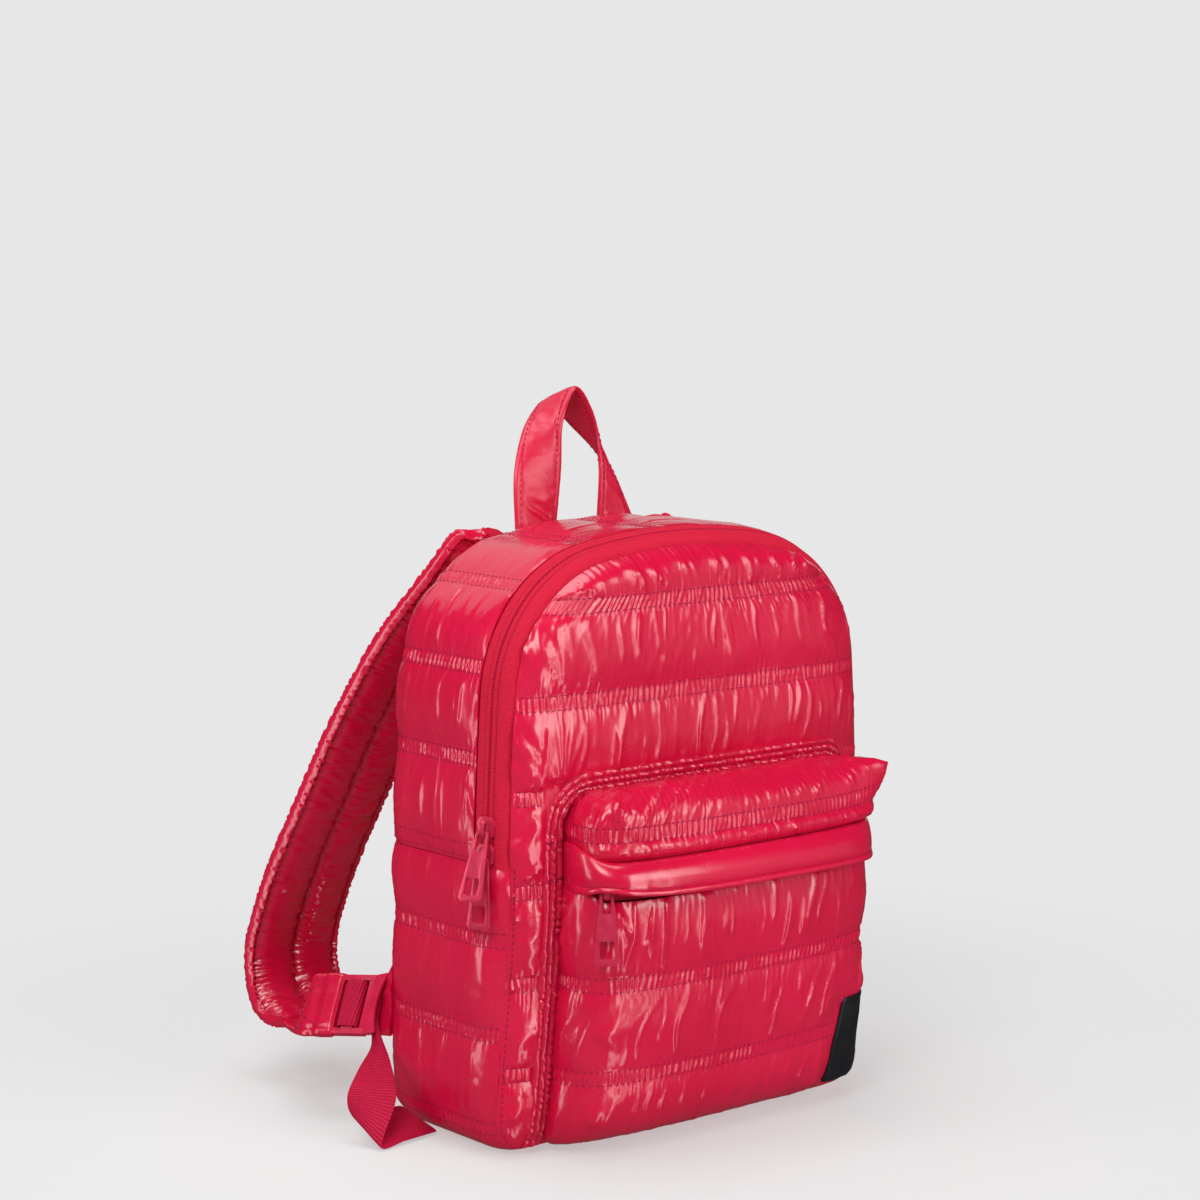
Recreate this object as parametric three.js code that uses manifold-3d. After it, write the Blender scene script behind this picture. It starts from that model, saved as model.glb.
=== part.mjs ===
// A mini backpack of padded, quilted cloth with a front pocket, in millimetres.
// X runs to the viewer's right, the front faces -Y, Z is up and the base rests on Z = 0.
import * as THREE from 'three';
import { mergeVertices } from 'three/addons/utils/BufferGeometryUtils.js';
import Module from 'manifold-3d';

const wasm = await Module();
wasm.setup();

// Fit between neighbouring pieces, and how close corners are before they count as one
const GAP = 0.3;
const MERGE_DISTANCE = 1e-3;
const BISECTIONS = 40;

// Main body: the outline seen from the front, as arcs from the top centre round to the flat base
const OUTLINE = [
  { name: 'crown', radius: 330, turn: 10 },
  { name: 'shoulder', radius: 75, turn: 76 },
  { name: 'side', radius: 1707, turn: 7 },
  { name: 'foot', radius: 20, turn: 87 },
];
const BACK_SEAM_Y = 46;
const FRONT_SEAM_Y = -46;
const FRONT_TUCK = 8;
const FRONT_TUCK_HEIGHT = 130;
const EDGE_DROP = 8;
const FOOT_EDGE_DROP = 3;
const FULL_DROP_Z = 130;
const FLAT_SHARE = 0.6;
const CLOTH = 2;
const GUSSET_SEAM_Z = 146;

// Quilting: the height of a filled channel and the places of the sewn rows
const BODY_PUFF = 4.5;
const GUSSET_ROW_PITCH = 44.5;
const GUSSET_ROW_START = -7;
const GUSSET_ROW_COUNT = 4;
const LOWER_GUSSET_ROWS = [18, 66, 113];
const PANEL_ROW_PITCH = 45.3;
const PANEL_ROW_START = 45.7;
const PANEL_ROW_COUNT = 6;
const CHANNEL_STEPS = [0, 0.14, 0.5, 0.86];
const FILL_POWER = 0.6;
const FADE_POWER = 4;

// Front and back panels
const PANEL_CHORD_Z = 262;
const FRONT_DOME = 9;
const BACK_DOME = 6;
const PANEL_EDGE_FADE = 40;
const PANEL_SIDE_POWER = 8;
const PANEL_CAP_STEPS = 4;
const FRONT_STEPS = [0, 0.3, 0.6, 0.84, 0.95, 1];
const BACK_STEPS = [0, 0.3, 0.6, 0.85, 1];

// Main zip
const ZIP_REAR_Y = -28;
const ZIP_MID_Y = -36.2;
const ZIP_FRONT_Y = -43.4;
const TAPE_TOP = -0.3;
const TAPE_THICKNESS = 1.3;
const TAPE_STEPS = 44;

// Zip sliders and pulls
const SLIDER = { length: 9.4, wide: 9, narrow: 7, height: 2.6 };
const BAIL = { low: -5.2, high: 3.4, top: 7, width: 2.6, leg: 1.3, crown: 1.1, sink: 0.5, rise: 1.6 };
const BAIL_EYE = { sill: 0.7, along: 0.9, out: 0.5 };
const PIVOT = { down: 2.5, out: 4.6 };
const PULL = { length: 33.5, topHalf: 3.3, endHalf: 6.2, thickness: 1.6, bar: 0.7, corner: 1.6 };
const PULL_EYE = { half: 2, depth: 9, corner: 0.6 };
const PULL_WINDOW = { half: 3.7, from: 22, to: 30.5, corner: 1.4 };
const UPPER_SLIDER_Z = 165;
const LOWER_SLIDER_Z = 152;
const UPPER_PULL_LEAN = 21;
const LOWER_PULL_LEAN = 5;

// Front pocket: sections from the bottom edge up the front and back over the top, each with its height,
// half its width at the root, how far its middle stands out and which way it faces, in degrees up from level
const POCKET_SECTIONS = [
  { level: -12, z: 4, half: 84, reach: 1, tilt: -88 },
  { level: -2, z: 3, half: 86, reach: 4, tilt: -80 },
  { level: 5, z: 4.5, half: 87.5, reach: 14, tilt: -60 },
  { level: 10, z: 9, half: 88.3, reach: 22, tilt: -35 },
  { level: 16, z: 16, half: 88.5, reach: 28.3, tilt: -15 },
  { level: 25, z: 25, half: 88.5, reach: 32.8, tilt: 0 },
  { level: 46, z: 46, half: 88.5, reach: 35.6, tilt: 0 },
  { level: 93, z: 93, half: 88.5, reach: 38.4, tilt: 0 },
  { level: 127, z: 127, half: 88.5, reach: 38.5, tilt: 0 },
  { level: 158, z: 158, half: 88.3, reach: 38.3, tilt: 0 },
  { level: 166, z: 166, half: 88, reach: 38, tilt: 12 },
  { level: 173, z: 173, half: 83.3, reach: 36.5, tilt: 35 },
  { level: 178, z: 176.6, half: 78.8, reach: 33, tilt: 60 },
  { level: 186, z: 177.8, half: 75.8, reach: 26, tilt: 80 },
  { level: 198, z: 178, half: 74.8, reach: 13, tilt: 88 },
  { level: 210, z: 178.2, half: 72.6, reach: 0.8, tilt: 90 },
];
const POCKET_SQUARENESS = 0.625;
const POCKET_SIDE_POWER = 6;
const POCKET_SIDE_BULGE = 8;
const POCKET_BULGE_REACH = 30;
const POCKET_STANDOFF = 0.5;
const POCKET_WALL = 2.5;
const POCKET_PUFF = 4;
const POCKET_LOWER_LEVELS = [-12, -2, 5, 10, 16, 25, 40, 46, 52, 58, 70, 87, 93, 99, 112, 125, 130.5];
const POCKET_LOWER_ROWS = [-12, 46, 93, 130.5];
const POCKET_UPPER_LEVELS = [150.3, 153, 158, 163, 166, 169, 173, 178, 186, 198, 206, 210];
const POCKET_UPPER_ROWS = [150.3, 166, 210];
const POCKET_STEPS = [0, 0.19, 0.37, 0.49, 0.62, 0.75, 0.88, 1];
const POCKET_CORNER = { leftLift: 4, rightLift: 13, across: 0.62, spread: 0.14, level: 174, rise: 8 };
const FLAP = { top: 150, hem: 133, slant: 3, end: 0.9, topLift: 0.6, hemLift: 7.6 };
const FLAP_CLOTH = { thickness: 2.6, puff: 1.6 };
const FLAP_LEVELS = [0, 0.14, 0.35, 0.6, 0.82, 1];
const POCKET_ZIP = { low: 130.8, high: 149.9, lift: -2.8, thickness: 1.2, end: 0.97 };
const POCKET_SLIDER = { z: 137.5, across: -0.61, lift: -2.5, probe: 0.01 };
const POCKET_PULL_LEAN = 12;

// Double welt round the pocket
const BINDING = { half: 94.8, spread: 3.4, foot: 4, top: 183.6, corner: 22, width: 9.4 };
const BINDING_HEIGHT = 3.6;
const BINDING_STAND = 0.7;
const BINDING_RIDGES = [0.25, 0.95, 0.55, 1, 0.25];
const BINDING_ARC_STEPS = 5;
const BINDING_SIDE_SHARES = [0, 0.03, 0.07, 0.12, 0.2, 0.35, 0.55, 0.78, 1];
const BINDING_TOP_STEPS = 10;

// Label on the pocket's lower right, over the pocket's own grid of steps and levels
const LABEL = { fromStep: 0.37, toStep: 0.75, low: 10, high: 58, lift: 0.4, thickness: 1.1 };

// Carry handle: the two edges of a folded strip, from the left foot over the top to the right foot
const HANDLE_EDGES = [
  { back: [-40, 44.4, 294.2], front: [-13.8, 44.4, 296] },
  { back: [-37, 49, 325], front: [-11, 43.6, 325] },
  { back: [-22, 59, 348], front: [-9, 43.6, 351] },
  { back: [-2, 66.5, 358], front: [0, 44, 367] },
  { back: [11, 61.5, 345.5], front: [11.5, 44, 352] },
  { back: [26, 49, 324], front: [15, 44, 330] },
  { back: [40, 44.4, 294.2], front: [13.8, 44.4, 296] },
];
const HANDLE_THICKNESS = 2.6;
const HANDLE_STEPS = 26;

// Shoulder straps: the middle line of the left pad from its root to its end
const STRAP_LINE = [
  [-43, 56.4, 289],
  [-53, 67, 271],
  [-66, 89, 239],
  [-77, 112, 198],
  [-86, 136, 149],
  [-94, 157, 102],
  [-99, 166, 66],
  [-101, 160, 46],
  [-105, 143, 36],
  [-112, 120, 37],
];
const STRAP_HALF_WIDTH = 28.5;
const STRAP_ROOT_HALF_WIDTH = 24;
const STRAP_END_HALF_WIDTH = 21;
const STRAP_EDGE = 2.4;
const STRAP_FILL = 5.4;
const STRAP_ROOT_SHARE = 0.1;
const STRAP_END_SHARE = 0.14;
const STRAP_TIP_SHARE = 0.03;
const STRAP_FILL_GAIN = 1.4;
const STRAP_STEPS = 26;
const STRAP_ACROSS = [-1, -0.86, -0.5, 0, 0.5, 0.86, 1];
const STRAP_END = { thickness: 2.6, lead: 6, bend: 10, widen: 3, dip: 0.5, steps: 10 };

// Ladder lock on the left strap: its middle, the way to the bag and the way down across it
const LOCK_CENTRE = [-128.5, 65.5, 58];
const LOCK_ALONG = [0.41, -0.9, 0.1];
const LOCK_DOWN = [-0.513, -0.322, -0.798];
const LOCK = { half: 16, rail: 3, back: -17, endBar: 3.5, midHalf: 3.2, lipFrom: 7.2, lipBar: 3.2, join: 1 };
const LOCK_HEIGHTS = {
  rail: [-1.8, 2.2],
  end: [-1.6, 2],
  mid: [-2.3, 2.3],
  lip: [-1.2, 1.8],
  lipRoot: [-1, 1.6],
};
const LOCK_LIP = { length: 8, rise: 5, thickness: 2, hollow: 36, bite: 3.4, cut: 30, cutSides: 48 };

// Webbing: half its width, and its way round the lock as (along, out) pairs in the lock's own frame
const WEBBING_HALF = 12.5;
const WEBBING_THICKNESS = 1.4;
const WEBBING_IN_LOCK = [
  [8, -8.4],
  [1, -7],
  [-3.8, -4.6],
  [-5.4, -1.4],
  [-5.3, 1.5],
  [-4, 3.4],
  [0, 3.9],
  [4, 3.4],
  [5.3, 1.5],
  [5.4, -1],
  [8.5, -2.9],
  [12.5, -1.3],
];
const TAIL_EDGES = [
  { left: [-135, 41.5, 43], right: [-126, 47.5, 51.5] },
  { left: [-147, 36, 34], right: [-130.5, 31, 36] },
  { left: [-157, 31, 23], right: [-138.5, 15.5, 23] },
  { left: [-155, 30, 15], right: [-151.5, 9.5, 2] },
  { left: [-138, 31, 14], right: [-136, 11.5, 2] },
  { left: [-125, 31, 13], right: [-115, 14, 2] },
];
const WEBBING_STEPS = 46;

// Cloth wing from the bag's back seam to the webbing
const WING = { high: [-117.8, 46.8, 70], low: [-119.1, 46.8, 45], thickness: 1.6, steps: 4, tipGap: 1 };

// Colours as 0xRRGGBB
const SHELL = { color: 0xd71e46, roughness: 0.28, metalness: 0 };
const TAPE = { color: 0xe8384f, roughness: 0.7, metalness: 0 };
const METAL = { color: 0xd2344e, roughness: 0.4, metalness: 0.1 };
const PLASTIC = { color: 0xc4123f, roughness: 0.45, metalness: 0 };
const WEB = { color: 0xc41048, roughness: 0.75, metalness: 0 };
const PATCH = { color: 0x14141a, roughness: 0.5, metalness: 0 };

const bag = new THREE.Group();

// Meshes

function addMesh(name, geometry, look) {
  const mesh = new THREE.Mesh(geometry, new THREE.MeshStandardMaterial(look));
  mesh.name = name;
  bag.add(mesh);
  return mesh;
}

function volume(positions, triangles) {
  const corners = [new THREE.Vector3(), new THREE.Vector3(), new THREE.Vector3()];
  let total = 0;
  for (let i = 0; i < triangles.length; i += 3) {
    corners.forEach((corner, k) => corner.fromArray(positions, 3 * triangles[i + k]));
    total += corners[0].dot(corners[1].clone().cross(corners[2]));
  }
  return total / 6;
}

// A closed geometry with its corners merged, flat triangles dropped and its faces pointing out
function closedGeometry(positions, triangles) {
  const raw = new THREE.BufferGeometry();
  raw.setAttribute('position', new THREE.Float32BufferAttribute(positions, 3));
  raw.setIndex(triangles);
  const merged = mergeVertices(raw, MERGE_DISTANCE);
  const index = Array.from(merged.index.array);
  const kept = [];
  for (let i = 0; i < index.length; i += 3) {
    const [a, b, c] = index.slice(i, i + 3);
    if (a !== b && b !== c && c !== a) kept.push(a, b, c);
  }
  if (volume(merged.attributes.position.array, kept) < 0) kept.reverse();
  merged.setIndex(kept);
  merged.computeVertexNormals();
  return merged;
}

// A wall between an outer and an inner surface over one grid of u and v values
function wall(us, vs, outer, inner) {
  const positions = [];
  for (const surface of [outer, inner]) {
    for (const u of us) {
      for (const v of vs) positions.push(...surface(u, v).toArray());
    }
  }
  const columns = vs.length;
  const layer = us.length * columns;
  const at = (side, i, j) => side * layer + i * columns + j;
  const triangles = [];
  const quad = (a, b, c, d) => triangles.push(a, b, c, a, c, d);
  const lastU = us.length - 1;
  const lastV = columns - 1;
  for (let i = 0; i < lastU; i += 1) {
    for (let j = 0; j < lastV; j += 1) {
      quad(at(0, i, j), at(0, i + 1, j), at(0, i + 1, j + 1), at(0, i, j + 1));
      quad(at(1, i, j), at(1, i, j + 1), at(1, i + 1, j + 1), at(1, i + 1, j));
    }
    quad(at(0, i, 0), at(1, i, 0), at(1, i + 1, 0), at(0, i + 1, 0));
    quad(at(0, i, lastV), at(0, i + 1, lastV), at(1, i + 1, lastV), at(1, i, lastV));
  }
  for (let j = 0; j < lastV; j += 1) {
    quad(at(0, 0, j), at(0, 0, j + 1), at(1, 0, j + 1), at(1, 0, j));
    quad(at(0, lastU, j), at(1, lastU, j), at(1, lastU, j + 1), at(0, lastU, j + 1));
  }
  return closedGeometry(positions, triangles);
}

function toManifold(geometry) {
  const plain = geometry.clone();
  plain.deleteAttribute('normal');
  plain.deleteAttribute('uv');
  const merged = mergeVertices(plain, MERGE_DISTANCE);
  return new wasm.Manifold(new wasm.Mesh({
    numProp: 3,
    vertProperties: new Float32Array(merged.attributes.position.array),
    triVerts: new Uint32Array(merged.index.array),
  }));
}

function fromManifold(solid) {
  const mesh = solid.getMesh();
  const geometry = new THREE.BufferGeometry();
  geometry.setAttribute('position', new THREE.Float32BufferAttribute(mesh.vertProperties, 3));
  geometry.setIndex(Array.from(mesh.triVerts));
  geometry.computeVertexNormals();
  return geometry;
}

function block(x0, x1, y0, y1, z0, z1) {
  const geometry = new THREE.BoxGeometry(x1 - x0, y1 - y0, z1 - z0);
  return geometry.translate((x0 + x1) / 2, (y0 + y1) / 2, (z0 + z1) / 2);
}

// Numbers and steps

function spaced(from, to, count) {
  return Array.from({ length: count + 1 }, (_, i) => from + ((to - from) * i) / count);
}

function mirroredSteps(half) {
  return [...half.slice(1).reverse().map((step) => -step), ...half];
}

// The steps of every channel between the neighbouring rows of a list
function channelSteps(rows) {
  const steps = [];
  for (let i = 0; i + 1 < rows.length; i += 1) {
    for (const share of CHANNEL_STEPS) steps.push(rows[i] + (rows[i + 1] - rows[i]) * share);
  }
  steps.push(rows[rows.length - 1]);
  return steps;
}

// How full a channel is at a place between its rows: 0 on a row, 1 in the middle
function fill(at, rows) {
  const next = rows.findIndex((row) => row > at);
  if (next <= 0) return 0;
  const share = (at - rows[next - 1]) / (rows[next] - rows[next - 1]);
  return Math.sin(Math.PI * share) ** FILL_POWER;
}

// The value of a table's column at a level between its rows
function column(table, key, level) {
  const next = table.findIndex((row) => row.level >= level);
  if (next === 0) return table[0][key];
  const share = (level - table[next - 1].level) / (table[next].level - table[next - 1].level);
  return THREE.MathUtils.lerp(table[next - 1][key], table[next][key], share);
}

// The main body's surface

const ARC_LENGTHS = OUTLINE.map((arc) => arc.radius * THREE.MathUtils.degToRad(arc.turn));
const ARCS_LENGTH = ARC_LENGTHS.reduce((sum, length) => sum + length, 0);

// A point of the outline and its outward direction, by the distance from the top centre
function outlineFrom(distance, top) {
  const side = distance < 0 ? -1 : 1;
  let left = Math.abs(distance);
  let x = 0;
  let z = top;
  let heading = 0;
  OUTLINE.forEach((arc, i) => {
    const used = Math.min(left, ARC_LENGTHS[i]);
    const end = heading + used / arc.radius;
    x += arc.radius * (Math.sin(end) - Math.sin(heading));
    z -= arc.radius * (Math.cos(heading) - Math.cos(end));
    heading = end;
    left -= used;
  });
  return { x: side * (x - left), z, nx: side * Math.sin(heading), nz: Math.cos(heading) };
}

const BODY_HEIGHT = -outlineFrom(ARCS_LENGTH, 0).z;
const HALF_GIRTH = ARCS_LENGTH + outlineFrom(ARCS_LENGTH, BODY_HEIGHT).x;

function outlineAt(distance) {
  return outlineFrom(distance, BODY_HEIGHT);
}

// How far the seams of the front and back lie inside the outline; the bag is squarer near its base
function seamDrop(z) {
  return THREE.MathUtils.lerp(FOOT_EDGE_DROP, EDGE_DROP, THREE.MathUtils.smoothstep(z, 0, FULL_DROP_Z));
}

// The distance from the top centre at which the outline, or the seam inside it, is at a height
function distanceAtHeight(z, onSeam) {
  let low = 0;
  let high = ARCS_LENGTH;
  for (let i = 0; i < BISECTIONS; i += 1) {
    const middle = (low + high) / 2;
    const point = outlineAt(middle);
    const inset = onSeam ? seamDrop(point.z) : 0;
    if (point.z - inset * point.nz > z) low = middle;
    else high = middle;
  }
  return (low + high) / 2;
}

function frontSeamY(z) {
  return FRONT_SEAM_Y + FRONT_TUCK * (1 - THREE.MathUtils.smoothstep(z, 0, FRONT_TUCK_HEIGHT));
}

// How far the side wall has rounded in at a depth, towards the front and back seams
function edgeDrop(y, z) {
  const front = frontSeamY(z);
  const middle = (BACK_SEAM_Y + front) / 2;
  const share = Math.abs(y - middle) / ((BACK_SEAM_Y - front) / 2);
  return seamDrop(z) * (Math.max(0, share - FLAT_SHARE) / (1 - FLAT_SHARE)) ** 2;
}

function bodySkin(distance, y, lift) {
  const point = outlineAt(distance);
  const out = lift - edgeDrop(y, point.z);
  return new THREE.Vector3(point.x + point.nx * out, y, point.z + point.nz * out);
}

// Gusset: the strip that runs round the body, an upper arch and a lower U

const SEAM_DISTANCE = distanceAtHeight(GUSSET_SEAM_Z, false);
const PANEL_BACKING = CLOTH + 2 * GAP;
const GUSSET_BACK_Y = BACK_SEAM_Y - PANEL_BACKING;
const GUSSET_ACROSS = [0, 0.07, 0.18, 0.5, 0.82, 0.93, 1];
const FOOT_STEPS = 5;

function acrossFade(share) {
  return 1 - (2 * share - 1) ** FADE_POWER;
}

function gussetUpper() {
  const end = SEAM_DISTANCE - GAP / 2;
  const rows = [-end];
  for (let k = -GUSSET_ROW_COUNT; k <= GUSSET_ROW_COUNT; k += 1) {
    rows.push(GUSSET_ROW_START + GUSSET_ROW_PITCH * k);
  }
  rows.push(end);
  const depth = (share) => THREE.MathUtils.lerp(ZIP_REAR_Y, GUSSET_BACK_Y, share);
  const outer = (distance, share) =>
    bodySkin(distance, depth(share), BODY_PUFF * fill(distance, rows) * acrossFade(share));
  const inner = (distance, share) => bodySkin(distance, depth(share), -CLOTH);
  return wall(channelSteps(rows), GUSSET_ACROSS, outer, inner);
}

function gussetLower() {
  const reach = HALF_GIRTH - SEAM_DISTANCE - GAP / 2;
  const sideRows = LOWER_GUSSET_ROWS.map((z) => HALF_GIRTH - distanceAtHeight(z, false));
  const rows = [-reach, ...sideRows.map((row) => -row).reverse(), ...sideRows, reach];
  const baseRow = sideRows[0];
  const distanceOf = (along) => (along < 0 ? -1 : 1) * (HALF_GIRTH - Math.abs(along));
  const depth = (along, share) => {
    const front = frontSeamY(outlineAt(distanceOf(along)).z) + PANEL_BACKING;
    return THREE.MathUtils.lerp(front, GUSSET_BACK_Y, share);
  };
  const puff = (along, share) =>
    Math.abs(along) < baseRow ? 0 : BODY_PUFF * fill(along, rows) * acrossFade(share);
  const outer = (along, share) => bodySkin(distanceOf(along), depth(along, share), puff(along, share));
  const inner = (along, share) => bodySkin(distanceOf(along), depth(along, share), -CLOTH);
  const flatHalf = HALF_GIRTH - ARCS_LENGTH;
  const foot = spaced(flatHalf, baseRow, FOOT_STEPS);
  const sides = channelSteps([...sideRows, reach]);
  const right = [...foot.slice(0, -1), ...sides];
  const steps = [...right.map((step) => -step).reverse(), 0, ...right];
  return wall(steps, GUSSET_ACROSS, outer, inner);
}

addMesh('gusset_upper', gussetUpper(), SHELL);
addMesh('gusset_lower', gussetLower(), SHELL);

// Front and back panels: an arch-topped face closed by a chord and a cap above it

const PANEL_LOW_Z = FOOT_EDGE_DROP;
const PANEL_TOP_Z = BODY_HEIGHT - EDGE_DROP;
const CHORD_DISTANCE = distanceAtHeight(PANEL_CHORD_Z, true);
const PANEL_ROWS = [
  PANEL_LOW_Z,
  ...Array.from({ length: PANEL_ROW_COUNT }, (_, k) => PANEL_ROW_START + PANEL_ROW_PITCH * k),
  PANEL_TOP_Z,
];

function panelEdge(distance) {
  const point = outlineAt(distance);
  const inset = seamDrop(point.z);
  return { x: point.x - inset * point.nx, z: point.z - inset * point.nz };
}

function panelHalfWidth(z) {
  return panelEdge(distanceAtHeight(z, true)).x;
}

// A point of the panel by its share across and its level, which follows the arch above the chord
function panelPoint(across, level) {
  const straight = Math.min(level, PANEL_CHORD_Z);
  const chordX = across * panelHalfWidth(straight);
  const cap = Math.max(0, (level - PANEL_CHORD_Z) / (PANEL_TOP_Z - PANEL_CHORD_Z));
  const arch = panelEdge(across * CHORD_DISTANCE);
  const x = THREE.MathUtils.lerp(chordX, arch.x, cap);
  const z = THREE.MathUtils.lerp(straight, arch.z, cap);
  const low = Math.max(0, 1 - (level - PANEL_LOW_Z) / PANEL_EDGE_FADE);
  const fade = (1 - Math.abs(across) ** PANEL_SIDE_POWER) * (1 - cap ** FADE_POWER) * (1 - low ** FADE_POWER);
  return { x, z, fade };
}

function panelLevels() {
  const below = channelSteps(PANEL_ROWS).filter((level) => level < PANEL_CHORD_Z - 2);
  return [...below, ...spaced(PANEL_CHORD_Z, PANEL_TOP_Z, PANEL_CAP_STEPS)];
}

// The front panel lies flat where the pocket covers it
function behindPocket(x, z) {
  const edge = BINDING.half + BINDING.width;
  const beside = THREE.MathUtils.smoothstep(Math.abs(x), edge, edge + BINDING.width);
  const above = THREE.MathUtils.smoothstep(z, BINDING.top, BINDING.top + 2 * BINDING.width);
  return Math.max(beside, above);
}

function frontPanel() {
  const base = (point) => frontSeamY(point.z) - FRONT_DOME * point.fade;
  const outer = (across, level) => {
    const point = panelPoint(across, level);
    const puff = BODY_PUFF * fill(point.z, PANEL_ROWS) * point.fade * behindPocket(point.x, point.z);
    return new THREE.Vector3(point.x, base(point) - puff, point.z);
  };
  const inner = (across, level) => {
    const point = panelPoint(across, level);
    return new THREE.Vector3(point.x, base(point) + CLOTH, point.z);
  };
  return wall(mirroredSteps(FRONT_STEPS), panelLevels(), outer, inner);
}

function backPanel() {
  const surface = (across, level, lift) => {
    const point = panelPoint(across, level);
    const puff = lift < 0 ? 0 : BODY_PUFF * fill(point.z, PANEL_ROWS) * point.fade;
    const y = BACK_SEAM_Y + BACK_DOME * point.fade + puff + lift;
    return new THREE.Vector3(point.x, y, point.z);
  };
  const outer = (across, level) => surface(across, level, 0);
  const inner = (across, level) => surface(across, level, -CLOTH);
  return wall(mirroredSteps(BACK_STEPS), panelLevels(), outer, inner);
}

// The plain front face without its quilting, at a place below the chord
function frontFaceY(x, z) {
  const level = Math.max(z, PANEL_LOW_Z);
  const point = panelPoint(x / panelHalfWidth(level), level);
  return frontSeamY(point.z) - FRONT_DOME * point.fade;
}

addMesh('front_panel', frontPanel(), SHELL);
addMesh('back_panel', backPanel(), SHELL);

// Main zip: two tapes that follow the arch from seam to seam

function zipTape(fromY, toY) {
  const end = SEAM_DISTANCE - GAP / 2;
  const outer = (distance, y) => bodySkin(distance, y, TAPE_TOP);
  const inner = (distance, y) => bodySkin(distance, y, TAPE_TOP - TAPE_THICKNESS);
  return wall(spaced(-end, end, TAPE_STEPS), [fromY, toY], outer, inner);
}

addMesh('zip_tape_rear', zipTape(ZIP_REAR_Y - GAP, ZIP_MID_Y + GAP / 2), TAPE);
addMesh('zip_tape_front', zipTape(ZIP_MID_Y - GAP / 2, ZIP_FRONT_Y), TAPE);

// Sliders and pulls, in a frame with X across the zip, Y away from it and Z up along it

function sliderGeometry() {
  const { length, wide, narrow, height } = SLIDER;
  const plan = new THREE.Shape([
    new THREE.Vector2(-narrow / 2, -length / 2),
    new THREE.Vector2(narrow / 2, -length / 2),
    new THREE.Vector2(wide / 2, length / 5),
    new THREE.Vector2(wide / 3, length / 2),
    new THREE.Vector2(-wide / 3, length / 2),
    new THREE.Vector2(-wide / 2, length / 5),
  ]);
  const body = new THREE.ExtrudeGeometry(plan, { depth: height, bevelEnabled: false });
  body.rotateX(Math.PI / 2).translate(0, height, 0);
  const arch = new THREE.Shape();
  const middle = (BAIL.low + BAIL.high) / 2;
  const half = (BAIL.high - BAIL.low) / 2;
  const foot = height - BAIL.sink;
  const spring = height + BAIL.rise;
  arch.moveTo(BAIL.low, foot);
  arch.lineTo(BAIL.high, foot);
  arch.lineTo(BAIL.high, spring);
  arch.absellipse(middle, spring, half, BAIL.top - spring, 0, Math.PI, false, 0);
  const eye = new THREE.Path();
  const clear = BAIL.top - BAIL.crown;
  const sill = height + BAIL_EYE.sill;
  const { along, out } = BAIL_EYE;
  eye.moveTo(BAIL.low + BAIL.leg, sill);
  eye.lineTo(BAIL.low + BAIL.leg, clear - out);
  eye.lineTo(BAIL.low + BAIL.leg + along, clear);
  eye.lineTo(BAIL.high - BAIL.leg - along, clear);
  eye.lineTo(BAIL.high - BAIL.leg, clear - out);
  eye.lineTo(BAIL.high - BAIL.leg, sill);
  arch.holes.push(eye);
  const bail = new THREE.ExtrudeGeometry(arch, { depth: BAIL.width, bevelEnabled: false, curveSegments: 8 });
  bail.translate(0, 0, -BAIL.width / 2);
  const turn = new THREE.Matrix4().makeBasis(
    new THREE.Vector3(0, 0, 1),
    new THREE.Vector3(0, 1, 0),
    new THREE.Vector3(-1, 0, 0),
  );
  bail.applyMatrix4(turn);
  return fromManifold(toManifold(body).add(toManifold(bail)));
}

function roundedSlot(half, low, high, corner) {
  const slot = new THREE.Path();
  slot.moveTo(-half + corner, low);
  slot.lineTo(half - corner, low);
  slot.absarc(half - corner, low + corner, corner, -Math.PI / 2, 0, false);
  slot.lineTo(half, high - corner);
  slot.absarc(half - corner, high - corner, corner, 0, Math.PI / 2, false);
  slot.lineTo(-half + corner, high);
  slot.absarc(-half + corner, high - corner, corner, Math.PI / 2, Math.PI, false);
  slot.lineTo(-half, low + corner);
  slot.absarc(-half + corner, low + corner, corner, Math.PI, 1.5 * Math.PI, false);
  return slot;
}

// A pull hanging from the origin, its eye bar on the X axis
function pullGeometry() {
  const { length, topHalf, endHalf, thickness, bar, corner } = PULL;
  const outline = new THREE.Shape();
  outline.moveTo(-topHalf + bar, bar);
  outline.lineTo(-topHalf, -bar);
  outline.lineTo(-endHalf, -length + corner);
  outline.lineTo(-endHalf + corner, -length);
  outline.lineTo(endHalf - corner, -length);
  outline.lineTo(endHalf, -length + corner);
  outline.lineTo(topHalf, -bar);
  outline.lineTo(topHalf - bar, bar);
  outline.holes.push(roundedSlot(PULL_EYE.half, -PULL_EYE.depth, -bar, PULL_EYE.corner));
  outline.holes.push(roundedSlot(PULL_WINDOW.half, -PULL_WINDOW.to, -PULL_WINDOW.from, PULL_WINDOW.corner));
  const options = { depth: thickness, bevelEnabled: false, curveSegments: 2 };
  const plate = new THREE.ExtrudeGeometry(outline, options);
  return plate.translate(0, 0, -thickness / 2).rotateX(Math.PI / 2);
}

// A slider and its pull at a place on a zip, the pull leaning out from the zip by some degrees
function addSlider(names, origin, out, up, lean, look) {
  const across = new THREE.Vector3().crossVectors(out, up).normalize();
  const frame = new THREE.Group();
  frame.position.copy(origin);
  frame.quaternion.setFromRotationMatrix(new THREE.Matrix4().makeBasis(across, out, up));
  const slider = addMesh(names.slider, sliderGeometry(), look);
  const pull = addMesh(names.pull, pullGeometry(), look);
  pull.position.set(0, PIVOT.out, -PIVOT.down);
  pull.rotation.x = THREE.MathUtils.degToRad(lean);
  frame.add(slider, pull);
  bag.add(frame);
}

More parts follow.
